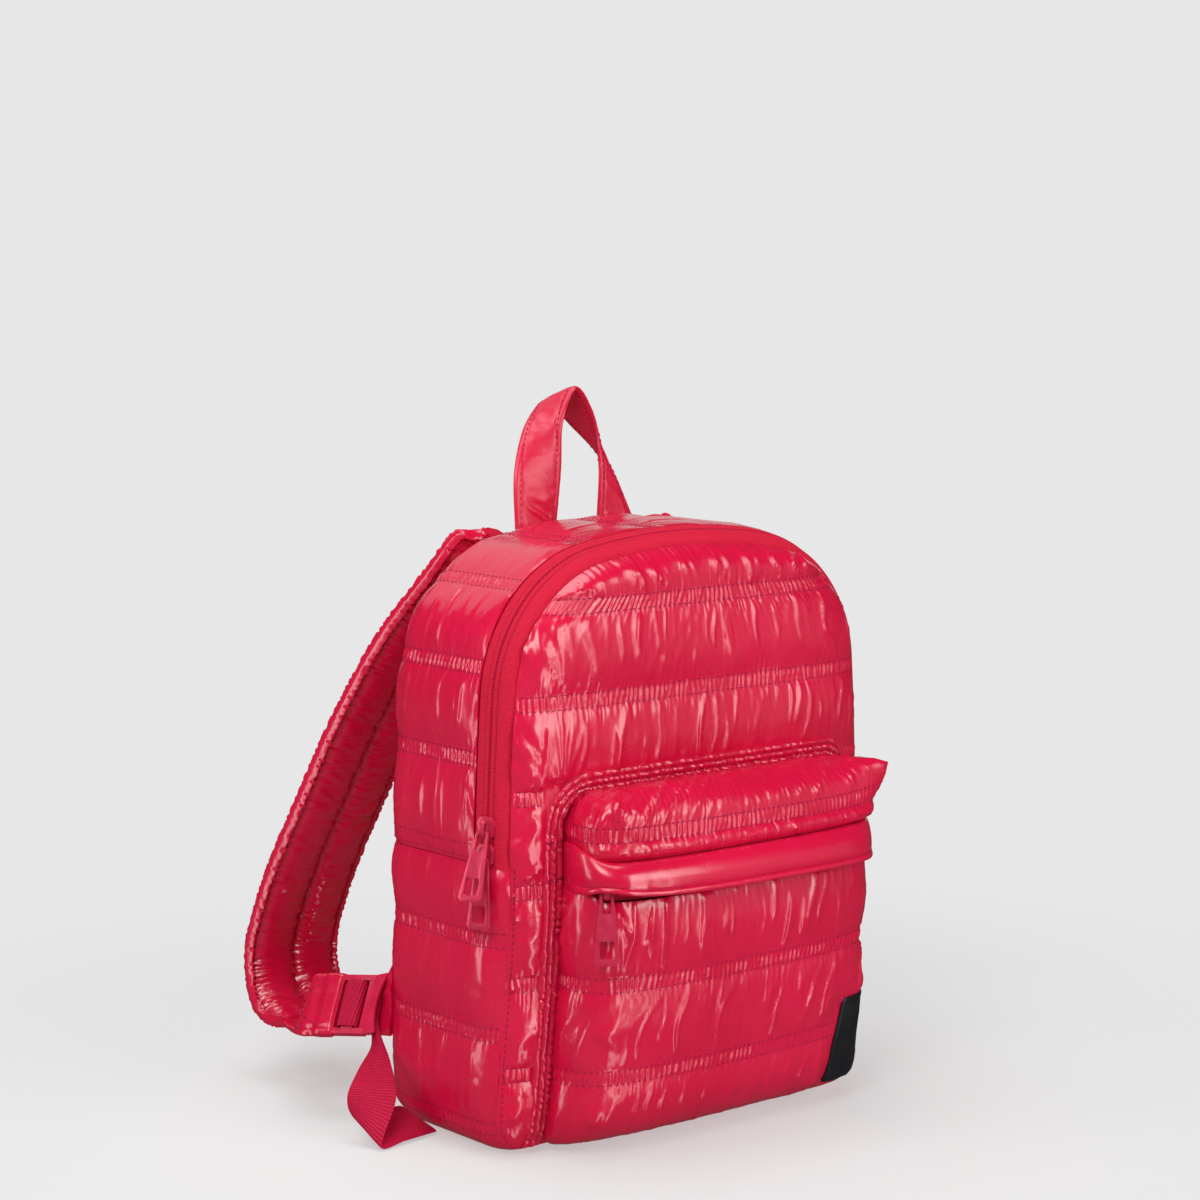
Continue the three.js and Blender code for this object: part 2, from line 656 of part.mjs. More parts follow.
// Place and directions of the main zip's middle at a height on the left side
function addMainSlider(names, z, lean) {
  const distance = -distanceAtHeight(z, false);
  const origin = bodySkin(distance, ZIP_MID_Y, TAPE_TOP + GAP);
  const ahead = bodySkin(distance, ZIP_MID_Y - 1, TAPE_TOP + GAP).sub(origin);
  const up = bodySkin(distance + 1, ZIP_MID_Y, TAPE_TOP + GAP).sub(origin).normalize();
  const out = new THREE.Vector3().crossVectors(ahead, up).normalize();
  addSlider(names, origin, out, up, lean, METAL);
}

addMainSlider({ slider: 'main_slider_upper', pull: 'main_pull_upper' }, UPPER_SLIDER_Z, UPPER_PULL_LEAN);
addMainSlider({ slider: 'main_slider_lower', pull: 'main_pull_lower' }, LOWER_SLIDER_Z, LOWER_PULL_LEAN);

// Front pocket: a full, square-shouldered bulge on the front face

function pocketSkin(across, level, lift) {
  const angle = (Math.abs(across) * Math.PI) / 2;
  const side = Math.sign(across);
  const sine = Math.sin(angle);
  const cosine = Math.max(0, Math.cos(angle));
  const at = (key) => column(POCKET_SECTIONS, key, level);
  const half = at('half');
  const tilt = THREE.MathUtils.degToRad(at('tilt'));
  const outward = lift * Math.cos(tilt);
  const height = at('z') + lift * Math.sin(tilt);
  const root = frontFaceY(half, height) - POCKET_STANDOFF;
  const reach = at('reach');
  const bulge = POCKET_SIDE_BULGE * Math.min(1, reach / POCKET_BULGE_REACH) * Math.sin(2 * angle);
  const x = half * sine ** POCKET_SQUARENESS + bulge + outward * sine;
  const y = root - reach * cosine ** POCKET_SQUARENESS - outward * cosine;
  return new THREE.Vector3(side * x, y, height);
}

function pocketCorner(across, level) {
  const beside = (Math.abs(across) - POCKET_CORNER.across) / POCKET_CORNER.spread;
  const above = (level - POCKET_CORNER.level) / POCKET_CORNER.rise;
  const lift = across < 0 ? POCKET_CORNER.leftLift : POCKET_CORNER.rightLift;
  return lift * Math.exp(-(beside ** 2) - above ** 2);
}

function pocketPuff(across, level, rows) {
  return POCKET_PUFF * fill(level, rows) * (1 - Math.abs(across) ** POCKET_SIDE_POWER);
}

function lowerPocketSkin(across, level, lift) {
  return pocketSkin(across, level, lift + pocketPuff(across, level, POCKET_LOWER_ROWS));
}

function pocketLower() {
  const inner = (across, level) => pocketSkin(across, level, -POCKET_WALL);
  const outer = (across, level) => lowerPocketSkin(across, level, 0);
  return wall(mirroredSteps(POCKET_STEPS), POCKET_LOWER_LEVELS, outer, inner);
}

function pocketUpper() {
  const inner = (across, level) => pocketSkin(across, level, pocketCorner(across, level) - POCKET_WALL);
  const outer = (across, level) =>
    pocketSkin(across, level, pocketCorner(across, level) + pocketPuff(across, level, POCKET_UPPER_ROWS));
  return wall(mirroredSteps(POCKET_STEPS), POCKET_UPPER_LEVELS, outer, inner);
}

// The pocket's steps across, cut off at the same share on both sides
function pocketStepsTo(end) {
  return mirroredSteps([...POCKET_STEPS.filter((step) => step < end), end]);
}

function pocketFlap() {
  const height = (across, down) => THREE.MathUtils.lerp(FLAP.top, FLAP.hem - FLAP.slant * across, down);
  const free = (across) => 1 - (across / FLAP.end) ** FADE_POWER;
  const swing = FLAP.hemLift - FLAP.topLift;
  const stand = (across, down) => FLAP.topLift + swing * free(across) * Math.sqrt(down);
  const puff = (across, down) => FLAP_CLOTH.puff * free(across) * Math.sin(Math.PI * down);
  const inner = (across, down) => pocketSkin(across, height(across, down), stand(across, down));
  const top = (across, down) => stand(across, down) + FLAP_CLOTH.thickness + puff(across, down);
  const outer = (across, down) => pocketSkin(across, height(across, down), top(across, down));
  return wall(pocketStepsTo(FLAP.end), FLAP_LEVELS, outer, inner);
}

function pocketZip() {
  const outer = (across, level) => pocketSkin(across, level, POCKET_ZIP.lift);
  const inner = (across, level) => pocketSkin(across, level, POCKET_ZIP.lift - POCKET_ZIP.thickness);
  return wall(pocketStepsTo(POCKET_ZIP.end), [POCKET_ZIP.low, POCKET_ZIP.high], outer, inner);
}

function labelPatch() {
  const outer = (across, level) => lowerPocketSkin(across, level, LABEL.lift + LABEL.thickness);
  const inner = (across, level) => lowerPocketSkin(across, level, LABEL.lift);
  const steps = POCKET_STEPS.filter((step) => step >= LABEL.fromStep && step <= LABEL.toStep);
  const levels = POCKET_LOWER_LEVELS.filter((level) => level >= LABEL.low && level <= LABEL.high);
  return wall(steps, levels, outer, inner);
}

addMesh('pocket_lower', pocketLower(), SHELL);
addMesh('pocket_upper', pocketUpper(), SHELL);
addMesh('pocket_flap', pocketFlap(), SHELL);
addMesh('pocket_zip', pocketZip(), TAPE);
addMesh('label_patch', labelPatch(), PATCH);

function addPocketSlider() {
  const { z, across, lift, probe } = POCKET_SLIDER;
  const origin = pocketSkin(across, z, lift);
  const aside = pocketSkin(across + probe, z, lift).sub(origin);
  const up = new THREE.Vector3(0, 0, 1);
  const out = new THREE.Vector3().crossVectors(aside, up).normalize();
  addSlider({ slider: 'pocket_slider', pull: 'pocket_pull' }, origin, out, up, POCKET_PULL_LEAN, METAL);
}

addPocketSlider();

// Double welt: a ridged band that runs up one side of the pocket, over it and down the other

function bindingLine() {
  const { half, spread, top, corner, foot } = BINDING;
  const right = [];
  for (const share of BINDING_SIDE_SHARES) {
    const z = THREE.MathUtils.lerp(foot, top - corner, share);
    right.push({ x: half + spread * (1 - share), z, nx: 1, nz: 0 });
  }
  for (const angle of spaced(0, Math.PI / 2, BINDING_ARC_STEPS).slice(1)) {
    const nx = Math.cos(angle);
    const nz = Math.sin(angle);
    right.push({ x: half - corner + corner * nx, z: top - corner + corner * nz, nx, nz });
  }
  const left = right.map((point) => ({ x: -point.x, z: point.z, nx: -point.nx, nz: point.nz }));
  const across = spaced(-(half - corner), half - corner, BINDING_TOP_STEPS).slice(1, -1);
  const over = across.map((x) => ({ x, z: top, nx: 0, nz: 1 }));
  return [...left, ...over, ...right.reverse()];
}

function pocketBinding() {
  const line = bindingLine();
  const place = (i, share, rise) => {
    const point = line[i];
    const aside = (share - 0.5) * BINDING.width;
    const x = point.x + point.nx * aside;
    const z = point.z + point.nz * aside;
    return new THREE.Vector3(x, frontFaceY(x, z) - BINDING_STAND - rise, z);
  };
  const shares = spaced(0, 1, BINDING_RIDGES.length - 1);
  const ridge = (share) => BINDING_HEIGHT * BINDING_RIDGES[Math.round(share * (BINDING_RIDGES.length - 1))];
  const outer = (i, share) => place(i, share, ridge(share));
  const inner = (i, share) => place(i, share, 0);
  return wall(line.map((_, i) => i), shares, outer, inner);
}

addMesh('pocket_binding', pocketBinding(), SHELL);

// Flat strips between two edge curves

function curveThrough(points) {
  return new THREE.CatmullRomCurve3(points, false, 'centripetal');
}

function strip(edgeA, edgeB, thickness, steps, acrossSteps) {
  const curveA = curveThrough(edgeA);
  const curveB = curveThrough(edgeB);
  const surface = (along, across, offset) => {
    const a = curveA.getPoint(along);
    const b = curveB.getPoint(along);
    const forward = curveA.getTangent(along).add(curveB.getTangent(along));
    const normal = forward.cross(b.clone().sub(a)).normalize();
    return a.lerp(b, across).addScaledVector(normal, offset);
  };
  const outer = (along, across) => surface(along, across, thickness / 2);
  const inner = (along, across) => surface(along, across, -thickness / 2);
  return wall(spaced(0, 1, steps), spaced(0, 1, acrossSteps), outer, inner);
}

// Carry handle: a strip that stands facing the front at both feet and turns sideways over the top

function carryHandle() {
  const edge = (key) => HANDLE_EDGES.map((row) => new THREE.Vector3(...row[key]));
  return strip(edge('back'), edge('front'), HANDLE_THICKNESS, HANDLE_STEPS, 2);
}

addMesh('carry_handle', carryHandle(), SHELL);

// Shoulder straps, each with a pad, a sewn end, a lock, webbing and a wing.
// Side is 1 for the left, as listed above, and -1 for the right, its mirror image.

function onSide(point, side) {
  return new THREE.Vector3(side * point[0], point[1], point[2]);
}

function strapFrame(curve, along, side) {
  const centre = curve.getPoint(along);
  const forward = curve.getTangent(along);
  const inward = new THREE.Vector3(side, 0, 0);
  const across = inward.addScaledVector(forward, -inward.dot(forward)).normalize();
  const face = new THREE.Vector3().crossVectors(across, forward).normalize();
  return { centre, across, face };
}

function strapHalfWidth(along) {
  const starting = 1 - THREE.MathUtils.smoothstep(along, 0, STRAP_ROOT_SHARE);
  const ending = THREE.MathUtils.smoothstep(along, 1 - STRAP_END_SHARE, 1);
  const narrowed = THREE.MathUtils.lerp(STRAP_HALF_WIDTH, STRAP_END_HALF_WIDTH, ending);
  return THREE.MathUtils.lerp(narrowed, STRAP_ROOT_HALF_WIDTH, starting);
}

// Half the pad's thickness: two filled channels beside a middle seam, flat at both ends
function strapHalfThickness(along, share) {
  const inset = THREE.MathUtils.lerp(STRAP_TIP_SHARE, 1 - STRAP_TIP_SHARE, along);
  const ends = Math.sqrt(Math.sin(Math.PI * inset));
  const channel = Math.sqrt(Math.abs(Math.sin(Math.PI * share)));
  return STRAP_EDGE / 2 + STRAP_FILL * channel * Math.min(1, STRAP_FILL_GAIN * ends);
}

function strapPad(side) {
  const curve = curveThrough(STRAP_LINE.map((point) => onSide(point, side)));
  const surface = (along, share, face) => {
    const frame = strapFrame(curve, along, side);
    const point = frame.centre.addScaledVector(frame.across, share * strapHalfWidth(along));
    return point.addScaledVector(frame.face, face * strapHalfThickness(along, share));
  };
  const outer = (along, share) => surface(along, share, 1);
  const inner = (along, share) => surface(along, share, -1);
  return wall(spaced(0, 1, STRAP_STEPS), STRAP_ACROSS, outer, inner);
}

function lockFrame(side) {
  const along = onSide(LOCK_ALONG, side).normalize();
  const rough = onSide(LOCK_DOWN, side);
  const down = rough.addScaledVector(along, -rough.dot(along)).normalize();
  const out = new THREE.Vector3().crossVectors(down, along).multiplyScalar(side).normalize();
  return { centre: onSide(LOCK_CENTRE, side), along, down, out };
}

function inLock(frame, down, along, out) {
  return frame.centre.clone().addScaledVector(frame.down, down)
    .addScaledVector(frame.along, along).addScaledVector(frame.out, out);
}

// The flat sewn end between the pad and the lock
function strapEnd(side) {
  const curve = curveThrough(STRAP_LINE.map((point) => onSide(point, side)));
  const end = strapFrame(curve, 1, side);
  const away = curve.getTangent(1);
  const lock = lockFrame(side);
  const edge = (share) => {
    const start = end.centre.clone().addScaledVector(end.across, share * STRAP_END_HALF_WIDTH);
    const finish = inLock(lock, -share * WEBBING_HALF, LOCK.back - GAP, 0);
    const wide = WEBBING_HALF + STRAP_END.widen;
    const before = inLock(lock, -share * wide, LOCK.back - STRAP_END.bend, -STRAP_END.dip);
    return [
      start.clone().addScaledVector(away, GAP),
      start.clone().addScaledVector(away, STRAP_END.lead),
      before,
      finish,
    ];
  };
  return strip(edge(-1), edge(1), STRAP_END.thickness, STRAP_END.steps, 2);
}

// The lock in its own frame: X down across it, Y along the strap towards the bag, Z out
function lockGeometry() {
  const { half, rail, back, endBar, midHalf, lipFrom, lipBar, join } = LOCK;
  const lipEnd = lipFrom + lipBar;
  const bar = (from, to, heights) => block(-half + join, half - join, from, to, ...heights);
  const pieces = [
    block(-half, -half + rail, back, lipEnd, ...LOCK_HEIGHTS.rail),
    block(half - rail, half, back, lipEnd, ...LOCK_HEIGHTS.rail),
    bar(back, back + endBar, LOCK_HEIGHTS.end),
    bar(-midHalf, midHalf, LOCK_HEIGHTS.mid),
    bar(lipFrom, lipEnd, LOCK_HEIGHTS.lip),
  ];
  const [rootLow, rootHigh] = LOCK_HEIGHTS.lipRoot;
  const profile = new THREE.Shape([
    new THREE.Vector2(lipEnd - join, rootLow),
    new THREE.Vector2(lipEnd + LOCK_LIP.length, LOCK_LIP.rise - LOCK_LIP.thickness),
    new THREE.Vector2(lipEnd + LOCK_LIP.length, LOCK_LIP.rise),
    new THREE.Vector2(lipEnd - join, rootHigh),
  ]);
  const lip = new THREE.ExtrudeGeometry(profile, { depth: 2 * half, bevelEnabled: false });
  lip.translate(0, 0, -half);
  lip.applyMatrix4(new THREE.Matrix4().makeBasis(
    new THREE.Vector3(0, 1, 0),
    new THREE.Vector3(0, 0, 1),
    new THREE.Vector3(1, 0, 0),
  ));
  const hollow = new THREE.CylinderGeometry(LOCK_LIP.hollow, LOCK_LIP.hollow, LOCK_LIP.cut, LOCK_LIP.cutSides);
  hollow.rotateX(Math.PI / 2);
  hollow.translate(0, lipEnd + LOCK_LIP.length - LOCK_LIP.bite + LOCK_LIP.hollow, 0);
  const solid = pieces.map(toManifold).reduce((sum, piece) => sum.add(piece));
  return fromManifold(solid.add(toManifold(lip)).subtract(toManifold(hollow)));
}

function addLock(name, side) {
  const frame = lockFrame(side);
  const mesh = addMesh(name, lockGeometry(), PLASTIC);
  const across = new THREE.Vector3().crossVectors(frame.along, frame.out);
  mesh.position.copy(frame.centre);
  mesh.quaternion.setFromRotationMatrix(new THREE.Matrix4().makeBasis(across, frame.along, frame.out));
}

function webbing(side) {
  const lock = lockFrame(side);
  const threaded = (half) => WEBBING_IN_LOCK.map(([along, out]) => inLock(lock, half, along, out));
  const tail = (key) => TAIL_EDGES.map((row) => onSide(row[key], side));
  const left = [...threaded(WEBBING_HALF), ...tail('left')];
  const right = [...threaded(-WEBBING_HALF), ...tail('right')];
  return strip(left, right, WEBBING_THICKNESS, WEBBING_STEPS, 1);
}

function strapWing(side) {
  const lock = lockFrame(side);
  const [along, out] = WEBBING_IN_LOCK[0];
  const edge = (root, half) => [onSide(root, side), inLock(lock, half, along + WING.tipGap, out)];
  return strip(edge(WING.high, -WEBBING_HALF), edge(WING.low, WEBBING_HALF), WING.thickness, WING.steps, 2);
}

for (const [label, side] of [['left', 1], ['right', -1]]) {
  addMesh(`strap_pad_${label}`, strapPad(side), SHELL);
  addMesh(`strap_end_${label}`, strapEnd(side), SHELL);
  addLock(`ladder_lock_${label}`, side);
  addMesh(`webbing_${label}`, webbing(side), WEB);
  addMesh(`strap_wing_${label}`, strapWing(side), SHELL);
}

export default bag;
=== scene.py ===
"""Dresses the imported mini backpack: quilted glossy cloth, seams, zips, straps and soft studio light."""

import math

import bmesh
import bpy
import numpy as np
from mathutils import Matrix, Vector


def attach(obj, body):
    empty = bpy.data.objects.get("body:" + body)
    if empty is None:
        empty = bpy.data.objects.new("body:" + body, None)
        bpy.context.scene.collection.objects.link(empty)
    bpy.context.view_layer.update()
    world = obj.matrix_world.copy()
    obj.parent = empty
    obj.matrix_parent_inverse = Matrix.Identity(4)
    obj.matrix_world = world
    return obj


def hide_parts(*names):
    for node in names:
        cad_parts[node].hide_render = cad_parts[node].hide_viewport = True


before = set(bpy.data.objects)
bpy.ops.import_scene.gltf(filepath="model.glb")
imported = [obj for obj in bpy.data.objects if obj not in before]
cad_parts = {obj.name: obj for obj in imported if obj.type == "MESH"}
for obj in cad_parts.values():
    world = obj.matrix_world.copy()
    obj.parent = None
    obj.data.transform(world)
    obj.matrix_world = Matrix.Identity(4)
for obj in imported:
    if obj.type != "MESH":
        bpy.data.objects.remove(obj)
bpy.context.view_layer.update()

# Sizes below are in millimetres, as in the part's source, apart from the lights and the floor
MM = 0.001

# Camera
CAMERA_PLACE = (-968.09, -1142.43, 445.86)
CAMERA_YAW = -39.6616
CAMERA_PITCH = 7.0453
CAMERA_LENS = 89.07
SENSOR = 36.0

# Main body
OUTLINE = ((330, 10), (75, 76), (1707, 7), (20, 87))
BACK_SEAM_Y = 46.0
FRONT_SEAM_Y = -46.0
FRONT_TUCK = 8.0
FRONT_TUCK_HEIGHT = 130.0
EDGE_DROP = 8.0
FOOT_EDGE_DROP = 3.0
FULL_DROP_Z = 130.0
FLAT_SHARE = 0.6
GUSSET_SEAM_Z = 146.0
GUSSET_ROWS = tuple(-7 + 44.5 * k for k in range(-4, 5))
LOWER_GUSSET_ROWS = (18, 66, 113)
PANEL_ROWS = tuple(45.7 + 45.3 * k for k in range(6))
PAIR = 7.0
PANEL_CHORD_Z = PANEL_ROWS[-1]
FRONT_DOME = 9.0
BACK_DOME = 6.0
PANEL_EDGE_FADE = 40.0
GUSSET_BACK_Y = BACK_SEAM_Y - 0.6
BODY_MIDDLE = (0, 0, 150.0)
PANEL_SIDE_POWER = 8
PANEL_END_POWER = 4
SEAM_GAP = 0.15
CLOTH = 2.0

# Main zip
ZIP_REAR_Y = -28.0
ZIP_MID_Y = -36.2
ZIP_FRONT_EDGE_Y = -45.9
TAPE_TOP = -0.3
TAPE_THICKNESS = 1.3
TAPE_OVERRUN = 1.5
TAPE_TUCK = 0.1
ZIP_HALF_GAP = 0.12
REAR_LIFTS = (
    (0, -0.9), (0.08, -0.2), (0.2, -0.1), (0.55, -0.1), (0.64, -0.5), (0.72, 0.1), (0.92, 0.25), (1, -0.6),
)
FRONT_LIFTS = (
    (0, -0.6), (0.06, 0.25), (0.2, 0.1), (0.26, -0.5), (0.3, -0.4), (0.34, 0.5), (0.5, 0.95), (0.75, 0.9),
    (0.88, 0.6), (0.95, -0.6), (1, -2.2),
)

# Front pocket: level, height, half width, reach and tilt of each section
POCKET_SECTIONS = np.array([
    (-12, 4, 84, 1, -88),
    (-2, 3, 86, 4, -80),
    (5, 4.5, 87.5, 14, -60),
    (10, 9, 88.3, 22, -35),
    (16, 16, 88.5, 28.3, -15),
    (25, 25, 88.5, 32.8, 0),
    (46, 46, 88.5, 35.6, 0),
    (93, 93, 88.5, 38.4, 0),
    (127, 127, 88.5, 38.5, 0),
    (158, 158, 88.3, 38.3, 0),
    (166, 166, 88, 38, 12),
    (173, 173, 83.3, 36.5, 35),
    (178, 176.6, 78.8, 33, 60),
    (186, 177.8, 75.8, 26, 80),
    (198, 178, 74.8, 13, 88),
    (210, 178.2, 72.6, 0.8, 90),
])
POCKET_SQUARENESS = 0.625
POCKET_SIDE_BULGE = 8.0
POCKET_BULGE_REACH = 30.0
POCKET_STANDOFF = 0.5
POCKET_LOWER_ROWS = (46, 93)
POCKET_LOWER_ENDS = (-12, 130.5)
POCKET_UPPER_ROWS = (166,)
POCKET_UPPER_ENDS = (150.3, 210)
POCKET_MOUTH = 140.0
POCKET_CORNER = dict(
    left=3.0, right=18.0, across=0.64, spread=0.22, level=171.0, rise=7.5, fall=20.0, steep=2.1,
)
FLAP = dict(
    top=150.0, hem=133.0, slant=3.0, top_lift=0.6, hem_lift=7.6, thickness=2.6, puff=1.6, roll=0.9, tuck=0.9,
    dents=0.14, pucker=0.28, run=140.0,
)
FLAP_STITCH = 0.8125
FLAP_REACH = 0.995
FLAP_LEFT_RISE = 7.0
FLAP_LEFT_DROP = 1.3
FLAP_PULL_ROOM = dict(across=-0.545, spread=0.15, rise=2.3)
POCKET_LEFT_RISE = 4.5
POCKET_ROOT_GAP = 1.2
POCKET_ZIP = dict(low=130.8, high=149.9, lift=-2.8, thickness=1.2, end=0.97)
BINDING = dict(
    half=94.8, spread=3.4, foot=4.0, top=183.6, corner=22.0, right_corner=12.0, width=9.4, overhang=0.8,
    height=3.4, pucker=1.15, crossings=(157.0, 138.5),
)
LABEL = dict(low=13.0, high=58.0, left_low=0.33, left_high=0.405, right=0.75, lift=0.8, thickness=1.1)
LABEL_SQUARENESS = 0.14
LABEL_PROFILE = (
    (1.0, -0.3), (1.0, 0.55), (0.985, 0.95), (0.955, 1.05), (0.93, 0.95), (0.915, 0.62), (0.89, 0.58),
    (0.7, 0.6), (0.5, 0.6), (0.3, 0.6), (0.12, 0.6),
)
POCKET_FOOT = dict(push=8.0, level=9.0, spread=11.0, under_label=3.0)

# Carry handle: back and front edge
HANDLE_BACK = (
    (-40, 44.4, 294.2), (-37, 49, 325), (-22, 59, 348), (-2, 66.5, 358),
    (11, 61.5, 345.5), (26, 49, 324), (40, 44.4, 294.2),
)
HANDLE_FRONT = (
    (-13.8, 44.4, 296), (-11, 43.6, 325), (-9, 43.6, 351), (0, 44, 367),
    (11.5, 44, 352), (15, 44, 330), (13.8, 44.4, 296),
)
HANDLE_THICKNESS = 2.6
HANDLE_STITCH = 3.0

# Straps
STRAP_LINE = (
    (-41, 51.5, 292), (-44, 57.5, 287), (-53, 67, 271), (-66, 89, 239), (-77, 112, 198), (-86, 136, 149),
    (-94, 157, 102), (-99, 166, 66), (-101, 160, 46), (-105, 143, 36), (-112, 120, 37),
)
STRAP_HALF_WIDTH = 28.5
STRAP_ROOT_HALF_WIDTH = 19.0
STRAP_END_HALF_WIDTH = 21.0
STRAP_EDGE = 2.4
STRAP_FILL = 4.6
STRAP_BAND = 0.87
STRAP_END_THICKNESS = 3.2
STRAP_END_STITCH = 3.2
GROOVE_WIDTH = 0.7
LOCK_CENTRE = (-128.5, 65.5, 58)
LOCK_ALONG = (0.41, -0.9, 0.1)
LOCK_DOWN = (-0.513, -0.322, -0.798)
LOCK_BACK = -17.0
LOCK_WRAP = dict(half=16.7, reach=-7.6, out=0.2, full=1.5, lead=11.0)
WEBBING_HALF = 12.5
WEBBING_THICKNESS = 1.4
WEBBING_IN_LOCK = (
    (8, -8.4), (1, -7), (-3.8, -4.6), (-5.4, -1.4), (-5.3, 1.5), (-4, 3.4),
    (0, 3.9), (4, 3.4), (5.3, 1.5), (5.4, -1), (8.5, -2.9), (12.5, -1.3),
)
TAIL_LEFT = (
    (-135, 41.5, 43), (-147, 36, 34), (-157, 31, 23), (-155, 30, 15), (-138, 31, 14), (-125, 31, 13),
)
TAIL_RIGHT = (
    (-126, 47.5, 51.5), (-130.5, 31, 36), (-138.5, 15.5, 23), (-151.5, 9.5, 2), (-136, 11.5, 2),
    (-115, 14, 2),
)
WING_HIGH = (-117.8, 46.8, 82)
WING_LOW = (-119.1, 46.8, 45)
WING_THICKNESS = 2.2
WING_SEAT = 1.5
WING_TIP_GAP = 1.0

# Cloth: grid steps, how full the channels are before the cloth settles, and the cloth's spare length
GRID_STEP = 2.2
BACK_GRID_STEP = 3.0
PLAIN_STEP = 9.0
START_PUFF = 2.0
SPARE_ALONG = 0.05
SPARE_DOWN = 0.015
CLOTH_FRAMES = 24
CLOTH_SCALE = 0.01
CLOTH_CAP = 7.0
START_CREASES = 0.3
START_JITTER = 0.12
PUFF_EDGE = 9.0
BAND_PUFF = 0.1
PINNED_BELOW = 0.05
CLOTH_SETTINGS = dict(
    quality=6, mass=0.15, air_damping=1.0, tension_stiffness=40, compression_stiffness=40, shear_stiffness=6,
    bending_stiffness=0.004, tension_damping=2, compression_damping=2, shear_damping=1, bending_damping=0.05,
    vertex_group_mass="held", use_pressure=True, uniform_pressure_force=1.3,
)
PADDING = dict(panel=0.7, strap=0.7, flap=0.5, welt=0.4)

# Folds: the usual ones, those of single panels, and rays and ridges at single places
RIB_PITCH = 3.2
RIB_HEIGHT = 0.5
GATHER_HEIGHT = 1.1
BORDER_HEIGHT = 0.8
SEAM_WIDTH = 0.9
GATHER_REACH = 4.2
RIDGE_FADE = 2.0
FOLDS = dict(
    spacing=7.0, size=1.4, width=0.9, lean=0.0, leans={}, border=0, border_way=1, finer=2, rays=(), fills={},
    strips=None, gather=1.0,
)
FRONT_LEANS = {8: -3.0, 10: 24.0, 12: 8.0}
FRONT_FILLS = {12: 0.16}
POCKET_LEANS = {0: -12.0, 2: -12.0, 4: -4.0}
SIDE_FOLDS = dict(spacing=11.0, size=1.1, width=1.2, border=6, border_way=-1, gather=0.6)
WELT_RAYS = dict(place=(-92, 181), first=60, last=170, count=11, length=46, size=1.3, width=1.6, seed=301)
CORNER_PLEATS = dict(place=(-83, 178), first=-75, last=-15, count=5, length=36, size=2.1, width=1.9, seed=303)
ZIP_PLEATS = dict(place=(-84, 130), first=-85, last=-40, count=6, length=34, size=1.7, width=1.5, seed=305)
STRIP_RIDGES = dict(low=6, high=180, spacing=7.5, slope=0.4, size=2.0, width=2.1, middle=12, seed=307)
LOW_PLEATS = dict(place=(-90, 24), first=-40, last=35, count=4, length=30, size=1.4, width=2.6, seed=309)
MID_PLEATS = dict(place=(-90, 66), first=-35, last=35, count=4, length=26, size=1.2, width=2.6, seed=311)
WRINKLE = dict(
    gap=(0.35, 1.7), tilt=2.5, border_start=(-14, 6), border_tilt=(12, 30), size=(0.3, 1), width=(0.6, 1.7),
    high=(-0.3, 0.3), low=(0.65, 1.3), bow=2.2, wave=0.8, far_side=(1.2, 4.0),
)

# Stitches: profile of one, rows by the seams, and sizes that aren't the usual ones
STITCH_RING = 4
STITCH_PROFILE = ((-0.5, 0.35, -0.7), (-0.3, 0.95, 0.1), (0.3, 0.95, 0.1), (0.5, 0.35, -0.7))
SEAM_ROWS = (2.0, 8.0)
BORDER_STITCH = 2.2
ZIP_STITCH = dict(pitch=1.7, length=1.15, radius=0.24, sink=0.05)
WELT_STITCH = dict(pitch=3.0, radius=0.4, sink=0.0)
CROSSING_STITCH = dict(pitch=2.4, length=2.0, radius=0.4, sink=0.0)
STRAP_END_SEWING = dict(pitch=2.6, length=1.9)

# Points along and across the grids
COLUMNS = dict(front=121, back=85, gusset_upper=37, gusset_lower=43, pocket=137)
FLAP_GRID = (33, 241)
POCKET_ZIP_GRID = (13, 161)
ZIP_GRID = (330, 21)
WELT_COUNTS = dict(side=260, arc=43, over=240, across=25)
LABEL_POINTS = 120
HANDLE_GRID = (190, 34)
STRAP_GRID = (420, 49)
STRAP_END_GRID = (90, 30)
WEBBING_GRID = (420, 16)
WING_GRID = (40, 26)
BACKING_STEP = 4
CURVE_PROBES = 600
OUTLINE_PROBES = 6000
ACROSS_PROBES = 6001
NOISE_SIZE = 128
SHARP_ANGLE = 40.0
TINY = 1e-6
SEEDS = dict(
    front=11, back=23, gusset_upper=37, gusset_lower=51, pocket_lower=67, pocket_upper=79, flap=91, welt=101,
    handle=111, strap=120, strap_end=141, wing=151,
)

# Hard pieces: rounding of their corners
SLIDER_ROUND = 0.4
PULL_ROUND = 0.5
LOCK_ROUND = 0.7
ROUND_SEGMENTS = 3
ROUND_FROM = 28.0
FLAT_BELOW = 2.0
HARD_SHARP_ANGLE = 35.0

